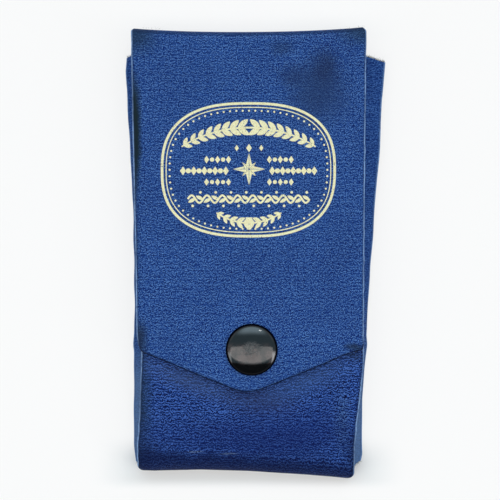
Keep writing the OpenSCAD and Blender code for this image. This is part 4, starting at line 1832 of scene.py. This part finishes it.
@dataclass(frozen=True)
class RawEdges:
    """The frayed edges: the gussets' cut tops and feet, the flap's top corners and right shoulder."""

    material: Material
    right_count: int = 620
    left_count: int = 160
    corner_count: int = 14
    shoulder_count: int = 46
    hair_radius: float = 0.03
    root_steps: int = 9
    glued: int = 8
    corners: tuple[tuple[Point, Point], ...] = (
        ((-34.2, 62.9, 9.2), (-25.0, 62.3, 9.6)),
        ((26.0, 62.6, 9.6), (34.2, 63.2, 9.2)),
    )
    shoulder: tuple[Point, Point] = ((27.0, -33.1, 10.1), (33.5, -32.1, 10.1))

    def on_gusset(self, gusset: Gusset, name: str, count: int) -> Piece:
        """Threads along a gusset's cut top, sparser inside its fold, and along its foot.

        Args:
            gusset: the gusset.
            name: the piece's name.
            count: threads along its top.

        Returns:
            The piece.
        """
        middle = gusset.middle()
        half = middle.shape[1] // 2
        front, inner = slice(half + 1, -self.glued), slice(self.glued, half - 1)
        up, over = np.array((0.1 * gusset.side, 1.0, 0.0)), np.array((0.35 * gusset.side, 0.0, 0.93))
        down = np.array((0.3 * gusset.side, -0.95, 0.05))
        skin = Skin()
        top = Tuft(count, (0.2, 0.75), spread=0.45, curl=0.35, seed=3 + gusset.side)
        top.add(skin, middle[0, front], up, over)
        Tuft(count // 3, (0.2, 0.6), seed=7 + gusset.side).add(skin, middle[0, inner], up, over)
        Tuft(count // 3, (0.15, 0.65), seed=11 + gusset.side).add(skin, middle[-1, front], down, over)
        piece = skin.build(name, None, self.material)
        return blend_body(piece)

    def on_corners(self) -> Piece:
        """Loose hairs at the flap's two top corners.

        Returns:
            The piece.
        """
        ahead, normal = np.array((0.0, 0.95, 0.3)), np.array((0.0, 0.3, -0.95))
        skin = Skin()
        for number, (first, last) in enumerate(self.corners):
            tuft = Tuft(self.corner_count, (0.15, 0.75), self.hair_radius, seed=41 + number)
            tuft.add(skin, np.linspace(first, last, self.root_steps), ahead, normal)
        piece = skin.build("top_edge_hairs", None, self.material)
        return blend_top(piece, underneath=False)

    def on_shoulder(self) -> Piece:
        """Fluff along the flap's right shoulder.

        Returns:
            The piece.
        """
        ahead, normal = np.array((0.1, -0.9, 0.2)), np.array((0.0, 0.2, 0.98))
        skin = Skin()
        tuft = Tuft(self.shoulder_count, (0.15, 0.6), self.hair_radius, seed=51)
        tuft.add(skin, np.linspace(*self.shoulder, self.root_steps), ahead, normal)
        piece = skin.build("shoulder_threads", None, self.material)
        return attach(piece, "flap")

    def build(self) -> list[Piece]:
        """Makes the threads of both gussets and of the flap.

        Returns:
            The pieces.
        """
        return [
            self.on_gusset(RIGHT_GUSSET, "right_gusset_threads", self.right_count),
            self.on_gusset(LEFT_GUSSET, "left_gusset_threads", self.left_count),
            self.on_corners(),
            self.on_shoulder(),
        ]


# ---- press stud


@dataclass(frozen=True)
class PressStud:
    """The press stud: an enamelled cap and its socket on the flap, and the stud on the pocket front."""

    cap_r: float = 7.62
    cap_top: float = 13.45
    shoulder_z: float = 10.85
    sheet: float = 0.35
    arc_share: float = 0.2
    cap_steps: int = 120
    stud_steps: int = 72
    lip: Line = ((6.2, 10.55), (5.4, 10.6), (5.3, 10.75), (5.4, 10.9), (6.5, 10.92), (7.0, 11.1))
    socket: Line = (
        (2.42, 9.4), (2.42, 8.82), (2.52, 8.68), (2.75, 8.6), (3.1, 8.6), (3.4, 8.68), (3.6, 8.76),
        (4.5, 8.76), (4.75, 8.7), (5.0, 8.7), (5.16, 8.78), (5.2, 8.92), (5.2, 9.2), (5.0, 9.25),
        (2.9, 9.25), (2.8, 9.4),
    )
    stud: Line = (
        (0.0, 8.1), (3.9, 8.1), (4.12, 8.18), (4.2, 8.3), (4.14, 8.4), (3.95, 8.44), (3.6, 8.42),
        (3.2, 8.36), (2.7, 8.36), (2.35, 8.44), (2.05, 8.62), (1.85, 8.85), (1.76, 9.1), (1.8, 9.3),
        (1.95, 9.45), (2.07, 9.58), (2.1, 9.7), (2.04, 9.84), (1.9, 9.94), (1.65, 10.0), (1.2, 10.0),
        (0.95, 9.94), (0.0, 9.9),
    )

    def cap_profile(self) -> Array:
        """An ellipse with a fifth of a shallow arc, then the rolled rim and the lip turned under.

        Returns:
            (N, 2) radius and height, in mm.
        """
        share = np.sin(np.linspace(0, np.pi / 2, 40))
        rise = self.cap_top - self.shoulder_z
        ellipse = np.sqrt(np.maximum(1 - share**2, 0))
        arc = self.arc_share
        height = self.shoulder_z + rise * ((1 - arc) * ellipse + arc * (1 - share**2))
        outer = np.stack((share * self.cap_r, height), 1)
        turn = np.linspace(0, np.pi / 2, 9)[1:]
        roll = self.shoulder_z - CASE.height
        rim = np.stack((self.cap_r - roll * (1 - np.cos(turn)), self.shoulder_z - roll * np.sin(turn)), 1)
        inner = outer[::-1] * ((self.cap_r - self.sheet) / self.cap_r, 1) - (0, self.sheet)
        return np.concatenate((outer, rim, self.lip, inner[1:]))

    def build(self, nodes: Mapping[str, Piece]) -> list[Piece]:
        """Makes the cap, the socket and the stud, and dresses the nodes that stay.

        Args:
            nodes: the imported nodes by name.

        Returns:
            The pieces.
        """
        brass = Metal(Bare.BRASS, "#c9a860", "#7d6638", 0.28).material()
        steel = Metal(Bare.STEEL, "#9a9c9e", "#5f6163", 0.3).material()
        cap = self.turned("enamel_cap", self.cap_profile(), Enamel().material(), self.cap_steps)
        socket = self.turned("press_socket", np.array(self.socket), brass, self.stud_steps)
        stud = self.turned("press_stud", np.array(self.stud), brass, self.stud_steps)
        for piece, body, slot, node in (
            (cap, "flap", "black_enamel", "snap_cap"),
            (socket, "flap", "brass", "snap_socket"),
            (stud, "pocket_front", "brass", "snap_stud"),
        ):
            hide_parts(node)
            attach(piece, body)
        for node, material in (("cap_post", brass), ("stud_post", brass), ("socket_spring", steel)):
            dress(nodes[node], material)
        return [cap, socket, stud]

    def turned(self, name: str, profile: Array, material: Material, steps: int) -> Piece:
        """Turns a profile about the press stud's upright axis; an end on the axis closes in a point.

        Args:
            name: the piece's name.
            profile: (N, 2) radius and height, in mm.
            material: its finish.
            steps: how many sides it has.

        Returns:
            The piece.
        """
        skin = Skin()
        turn = np.linspace(0, 2 * np.pi, steps, endpoint=False)
        on_axis = profile[:, 0] < ON_AXIS
        rings = profile[~on_axis]
        x = CASE.stud[0] + rings[:, :1] * np.cos(turn)
        y = CASE.stud[1] + rings[:, :1] * np.sin(turn)
        rows = skin.lay(np.stack((x, y, np.broadcast_to(rings[:, 1:], x.shape)), -1))
        skin.join(rows, round_rows=True)
        for end, row, flip in ((0, rows[0], False), (-1, rows[-1], True)):
            if on_axis[end]:
                pole = skin.lay(np.array([[*CASE.stud, profile[end, 1]]]))
                ring = np.stack((np.full(steps, pole[0]), row, np.roll(row, -1)), -1)
                skin.faces += (ring[:, ::-1] if flip else ring).tolist()
        if not on_axis.any():
            skin.join(np.stack((rows[-1], rows[0])), round_rows=True)
        return skin.build(name, None, material)


def dress(node: Piece, material: Material) -> None:
    """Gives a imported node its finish."""
    node.data.materials.clear()
    node.data.materials.append(material)


# ---- the stamped ornament


@dataclass
class Stamp:
    """A gold-stamped ornament on the flap: an oval border, leaf sprays, a star and rows of lozenges."""

    x: float = 0.06
    y: float = 20.8
    half_w: float = 25.2
    half_h: float = 19.5
    oval: float = 2.6
    proud: float = 0.03
    sunk: float = 0.05
    lines: tuple[Pair, Pair] = ((0.0, 0.38), (1.15, 0.14))
    line_steps: int = 240
    beads: int = 72
    bead_inset: float = 2.15
    bead_r: float = 0.3
    leaf_lean: float = 0.62
    vine_half: float = 0.3
    vine_bend: float = 2.1
    skin: Skin = field(default_factory=Skin)

    def ribbon(self, path: Array, half_width: Array | float, closed: bool = False) -> None:
        """A flat strip along a path (N, 2): each point moved both ways along the path's normal.

        Args:
            path: its middle line, from the middle of the ornament.
            half_width: in mm, for the path or for each point.
            closed: whether the path closes on itself.
        """
        wrapped = np.vstack((path[-2:-1], path, path[1:2]))
        ahead = np.gradient(wrapped, axis=0)[1:-1] if closed else np.gradient(path, axis=0)
        ahead /= np.linalg.norm(ahead, axis=1, keepdims=True)
        off = np.stack((-ahead[:, 1], ahead[:, 0]), 1) * np.reshape(half_width, (-1, 1))
        sides = np.stack((path + off, path - off, path - off, path + off), 1)
        depths = (-self.proud, -self.proud, self.sunk, self.sunk)
        rows = self.skin.lay(with_depth(sides, depths) + self.origin)
        self.skin.join(rows, round_rows=True)
        if closed:
            self.skin.join(np.stack((rows[-1], rows[0])), round_rows=True)
        else:
            self.skin.cap(rows[0])
            self.skin.cap(rows[-1][::-1])

    @property
    def origin(self) -> Array:
        """The ornament's middle as a flat place."""
        return np.array((self.x, self.y, 0.0))

    def scatter(self, shape: Array, places: Array, turns: Array, sizes: Array) -> None:
        """Copies of one flat shape (P, 2), each turned, sized and moved, as thin closed tablets.

        Args:
            shape: the outline.
            places: their middles, (N, 2).
            turns: their turns, in radians.
            sizes: their sizes, in mm.
        """
        turns, sizes = np.broadcast_to(turns, len(places)), np.broadcast_to(sizes, len(places))
        cos, sin = np.cos(turns)[:, None], np.sin(turns)[:, None]
        x = (shape[:, 0] * cos - shape[:, 1] * sin) * sizes[:, None] + places[:, :1]
        y = (shape[:, 0] * sin + shape[:, 1] * cos) * sizes[:, None] + places[:, 1:]
        flat = np.stack((x, y), -1)
        tops = self.skin.lay(with_depth(flat, -self.proud) + self.origin)
        lows = self.skin.lay(with_depth(flat, self.sunk) + self.origin)
        self.skin.faces += tops.tolist() + lows[:, ::-1].tolist()
        walls = np.stack((tops, lows, np.roll(lows, -1, 1), np.roll(tops, -1, 1)), -1)
        self.skin.faces += walls.reshape(-1, 4).tolist()

    def border(self) -> None:
        """A superellipse line, |x/a|^n + |y/b|^n = 1, with a finer line and beads inside it."""
        for inset, half in self.lines:
            self.ribbon(self.oval_path(inset, self.line_steps), half, closed=True)
        self.scatter(DOT, self.oval_path(self.bead_inset, self.beads), 0.0, self.bead_r)

    def oval_path(self, inset: float, count: int) -> Array:
        """Points evenly spaced round the border, some inset inside it.

        Args:
            inset: how far inside, in mm.
            count: how many points.

        Returns:
            The points, (count, 2).
        """
        turn = np.linspace(0, 2 * np.pi, 2001)
        power = 2 / self.oval
        x = (self.half_w - inset) * np.sign(np.cos(turn)) * np.abs(np.cos(turn)) ** power
        y = (self.half_h - inset) * np.sign(np.sin(turn)) * np.abs(np.sin(turn)) ** power
        at = lengths(np.stack((x, y), 1))
        share = np.linspace(0, 1, count, endpoint=False)
        return np.stack((np.interp(share, at, x), np.interp(share, at, y)), 1)

    def garland(self, top: float, sag: float, half: float, size: float, pairs: int) -> None:
        """A leaf spray on an arc: a stem, and pairs of leaves that lean towards the arc's middle.

        The arc's radius is (half^2 + sag^2) / (2 sag); a negative sag hangs it upside down.

        Args:
            top: the arc's top.
            sag: how far its ends hang.
            half: half its width.
            size: the leaves' length.
            pairs: pairs of leaves a side.
        """
        radius = (half**2 + sag**2) / (2 * abs(sag))
        bend = np.sign(sag)
        swing = np.arcsin(half / radius)
        angle = np.linspace(-swing, swing, 90)
        stem = np.stack((radius * np.sin(angle), top - bend * radius * (1 - np.cos(angle))), 1)
        self.ribbon(stem, 0.2 + 0.08 * np.cos(angle / swing * np.pi / 2))
        for side in (-1, 1):
            at = side * np.linspace(0.16, 0.97, pairs) * swing
            place = np.stack((radius * np.sin(at), top - bend * radius * (1 - np.cos(at))), 1)
            heading = -bend * at + (np.pi if side > 0 else 0.0)
            scale = size * np.linspace(1.05, 0.7, pairs)
            for lean in (-self.leaf_lean, self.leaf_lean):
                self.scatter(LEAF, place, heading + lean, scale)

    def row(self, y: float, start: float, end: float, count: int, size: float) -> None:
        """A row of lozenges with dots between them.

        Args:
            y: its height.
            start: its first x.
            end: its last x.
            count: lozenges and dots together.
            size: of a lozenge.
        """
        x = np.linspace(start, end, count)
        places = np.stack((x, np.full(count, y)), 1)
        self.scatter(LOZENGE, places[::2], 0.0, size)
        self.scatter(DOT, places[1::2], 0.0, size * 0.36)

    def star(self, y: float, size: float) -> None:
        """An eight-pointed star of sixteen half points, the diagonal ones shorter.

        Args:
            y: its height.
            size: its longest reach.
        """
        for scale, first in ((1.0, 0.0), (0.62, np.pi / 4)):
            turns = first + np.arange(4) * np.pi / 2
            middle = np.tile((0.0, y), (4, 1))
            for half in (HALF_POINT, HALF_POINT[::-1] * (1, -1)):
                self.scatter(half, middle, turns, size * scale)

    def vine(self, y: float, half: float, wave: float) -> None:
        """A waving stem, y = wave sin, with a leaf in each bend and a dot beyond it.

        Args:
            y: its height.
            half: half its width.
            wave: the bends' height.
        """
        bends = int(half / self.vine_bend)
        x = np.linspace(-half, half, 160)
        phase = x / half * np.pi * bends
        self.ribbon(np.stack((x, y + wave * np.sin(phase)), 1), self.vine_half)
        k = np.arange(-bends, bends) + 0.5
        x = k / bends * half
        sign = np.sin(k * np.pi)
        places = np.stack((x, y - wave * 0.9 * sign), 1)
        self.scatter(LEAF, places - (1.0, 0.0), 0.5 * sign, 2.5)
        self.scatter(DOT, places + (0.3, 0) - np.stack((0 * x, 1.0 * sign), 1), 0.0, 0.4)

    def build(self) -> Piece:
        """Lays out the ornament and sets it on the flap's cloth.

        Returns:
            The piece.
        """
        self.border()
        self.garland(12.4, 5.6, 19.6, 3.8, 8)
        crown = np.array(((-3.6, 6.4), (0.0, 6.4), (3.6, 6.4)))
        self.scatter(LOZENGE, crown, 0.0, np.array((1.5, 2.0, 1.5)))
        self.star(0.2, 4.7)
        for side in (-1, 1):
            self.row(3.0, side * 6.0, side * 12.4, 5, 1.8)
            self.row(-0.3, side * 6.8, side * 19.2, 9, 2.1)
            self.row(-3.6, side * 6.0, side * 12.4, 5, 1.7)
        self.vine(-8.6, 17.8, 1.1)
        self.garland(-15.6, -3.0, 9.5, 2.9, 5)
        piece = self.skin.build("gold_ornament", FLAP.place, Foil().material())
        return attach(piece, "flap")


def leaf_shape(points: int = 9) -> Array:
    """A pointed leaf from 0 to 1, half as wide as sin(pi t)^0.8 times 0.21.

    Args:
        points: how many on each side.

    Returns:
        The outline, (P, 2).
    """
    t = np.linspace(0, 1, points)
    wide = 0.21 * np.sin(np.pi * t) ** 0.8
    return np.concatenate((np.stack((t, -wide), 1), np.stack((t, wide), 1)[-2:0:-1]))


ROUND = np.linspace(0, 2 * np.pi, 12, endpoint=False)
DOT = np.stack((np.cos(ROUND), np.sin(ROUND)), 1)
LOZENGE = np.array(((-0.42, 0.0), (0.0, -0.62), (0.42, 0.0), (0.0, 0.62)))
LEAF = leaf_shape()
HALF_POINT = np.array(((0.06, 0.012), (1.0, 0.012), (0.22, 0.2)))


# ---- studio


@dataclass(frozen=True)
class Lamp:
    """A soft box that points at the case: its middle and size in metres, and its power."""

    name: str
    place: Point
    size: Pair
    watts: float
    colour: Point = (1.0, 1.0, 1.0)

    def build(self) -> Piece:
        """Makes the lamp, turned towards the case.

        Returns:
            The lamp.
        """
        light = bpy.data.lights.new(self.name, "AREA")
        light.shape = "RECTANGLE"
        light.size, light.size_y = self.size
        light.energy = self.watts
        light.color = self.colour
        lamp = bpy.data.objects.new(self.name, light)
        lamp.location = self.place
        lamp.rotation_euler = (-Vector(self.place)).to_track_quat("-Z", "Y").to_euler()
        bpy.context.scene.collection.objects.link(lamp)
        return lamp


@dataclass(frozen=True)
class Studio:
    """Pale floor, soft boxes, even surroundings and the camera straight above."""

    floor_half: float = 4000.0
    floor_z: float = -0.03
    floor_colour: str = "#fff7f1"
    own_white: float = 0.76
    # Share of own white in the painted shadow patch below the case.
    painted_shadow_own_white: float = 0.05
    room: str = "#435158"
    back: str = "#9eb4c0"
    sides: str = "#f0f6fa"
    front: str = "#101011"
    low: str = "#5c6265"
    horizon: str = "#2a2b2d"
    camera_at: Point = (0.35, -2.75, 410.0)
    view_mm: float = 147.1
    view_height: float = 10.0
    sensor: float = 36.0
    strength: float = 4.5
    lamps: tuple[Lamp, ...] = (
        Lamp("overhead_box", (0.0, -0.25, 1.0), (2.8, 0.58), 8.0, (1.0, 0.96, 0.93)),
        Lamp("overhead_edge", (0.0, -0.6, 1.0), (2.8, 0.1), 0.6, (1.0, 0.96, 0.93)),
        Lamp("window_glint", (0.34, 0.69, 0.64), (0.03, 0.03), 0.25),
    )

    def build(self) -> None:
        """Makes everything round the case."""
        scene = bpy.context.scene
        scene.view_settings.view_transform = "Standard"
        self.floor()
        scene.world = self.world()
        for lamp in self.lamps:
            lamp.build()
        camera = bpy.data.cameras.new("camera")
        camera.sensor_width = self.sensor
        reach = self.camera_at[2] - self.view_height
        camera.lens = self.sensor * reach / self.view_mm
        camera.clip_start, camera.clip_end = 0.01, 10.0
        seat = bpy.data.objects.new("camera", camera)
        seat.location = tuple(c * MM for c in self.camera_at)
        scene.collection.objects.link(seat)
        scene.camera = seat

    def floor(self) -> None:
        """A wide pale floor just under the case, part of whose white is its own where it is seen; below the
        case's bottom edge much less of it is, a painted shadow.
        """
        graph = Graph("floor")
        here = graph.node("ShaderNodeTexCoord", output=3)
        cloud = graph.noise(here, 6.0, 2)
        colour = graph.mix(cloud.step(0.3, 0.8) * 0.1, self.floor_colour, "#e6e7e9")
        matt = graph.node("ShaderNodeBsdfDiffuse", {"Color": colour})
        glow = graph.node("ShaderNodeEmission", {"Color": (1.0, 1.0, 1.0, 1.0), "Strength": 1.0})
        camera = graph.node("ShaderNodeLightPath")
        path = camera.socket.node.outputs
        seen = camera.most(Term(graph, path["Is Glossy Ray"])).most(Term(graph, path["Is Transmission Ray"]))
        x, y, _ = graph.parts(here)
        # Painted shadow: a patch below the case's bottom edge where the floor has little of its own white, so
        # it reads darker.
        under = y.step(-0.058, -0.0685) * y.step(-0.0752, -0.0715) * abs(x).step(0.048, 0.034)
        own = under * (self.painted_shadow_own_white - self.own_white) + self.own_white
        graph.end(graph.node("ShaderNodeMixShader", {0: seen * own, 1: matt, 2: glow}))
        corners = np.array(((-1, -1, 0), (1, -1, 0), (1, 1, 0), (-1, 1, 0))) * self.floor_half
        corners[:, 2] = self.floor_z
        mesh = bpy.data.meshes.new("floor")
        mesh.from_pydata((corners * MM).tolist(), [], [(0, 1, 2, 3)])
        mesh.materials.append(graph.owner)
        floor = bpy.data.objects.new("floor", mesh)
        bpy.context.scene.collection.objects.link(floor)

    def world(self) -> bpy.types.World:
        """A plain studio by direction: white low down, soft light from the sides and the back.

        The room above is grey, and it is dark towards the front.

        Returns:
            The world.
        """
        graph = Graph("surroundings", world=True)
        x, y, z = graph.parts(graph.node("ShaderNodeTexCoord", output=0))
        colour = graph.mix(y.step(0.42, 0.68) * abs(x).step(0.75, 0.2), self.room, self.back)
        colour = graph.mix((-1 * y).step(0.5, 0.56), colour, self.front)
        glow = abs(x).step(0.74, 0.82) * y.step(-0.08, -0.24) * (0.55 + x.step(-0.5, 0.5) * 0.45)
        colour = graph.mix(glow, colour, self.sides)
        ring = z.step(0.52, 0.42) * y.step(0.2, 0.4)
        colour = graph.mix(ring, colour, self.low)
        colour = graph.mix(z.step(0.32, 0.22), colour, self.horizon)
        return graph.end(graph.node("ShaderNodeBackground", {"Color": colour, "Strength": self.strength}))


def main() -> None:
    """Builds the case's pieces in order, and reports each."""
    logging.basicConfig(level=logging.INFO, format="%(name)s: %(message)s")
    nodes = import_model()["nodes"]
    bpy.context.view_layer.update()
    cover = Cover()
    made = [cover.flap(), cover.back_top(), cover.body()]
    made += Linings().build()
    board = Cardboard().material()
    made += [SpineBoard(board).build(), FlapBoard(board).build(), BackBoard(board).build()]
    dress(nodes["pocket_board"], board)
    gusset_cloth = GUSSET_CLOTH.material()
    made.append(LEFT_GUSSET.build("left_gusset_fold", "left_gusset", gusset_cloth))
    made.append(RIGHT_GUSSET.build("right_gusset_fold", "right_gusset", gusset_cloth))
    made += RawEdges(Fibre().material()).build()
    made += PressStud().build(nodes)
    made.append(Stamp().build())
    for piece in made:
        LOG.info("%s: %d faces", piece.name, len(piece.data.polygons))
    Studio().build()


if __name__ == "__main__":
    main()
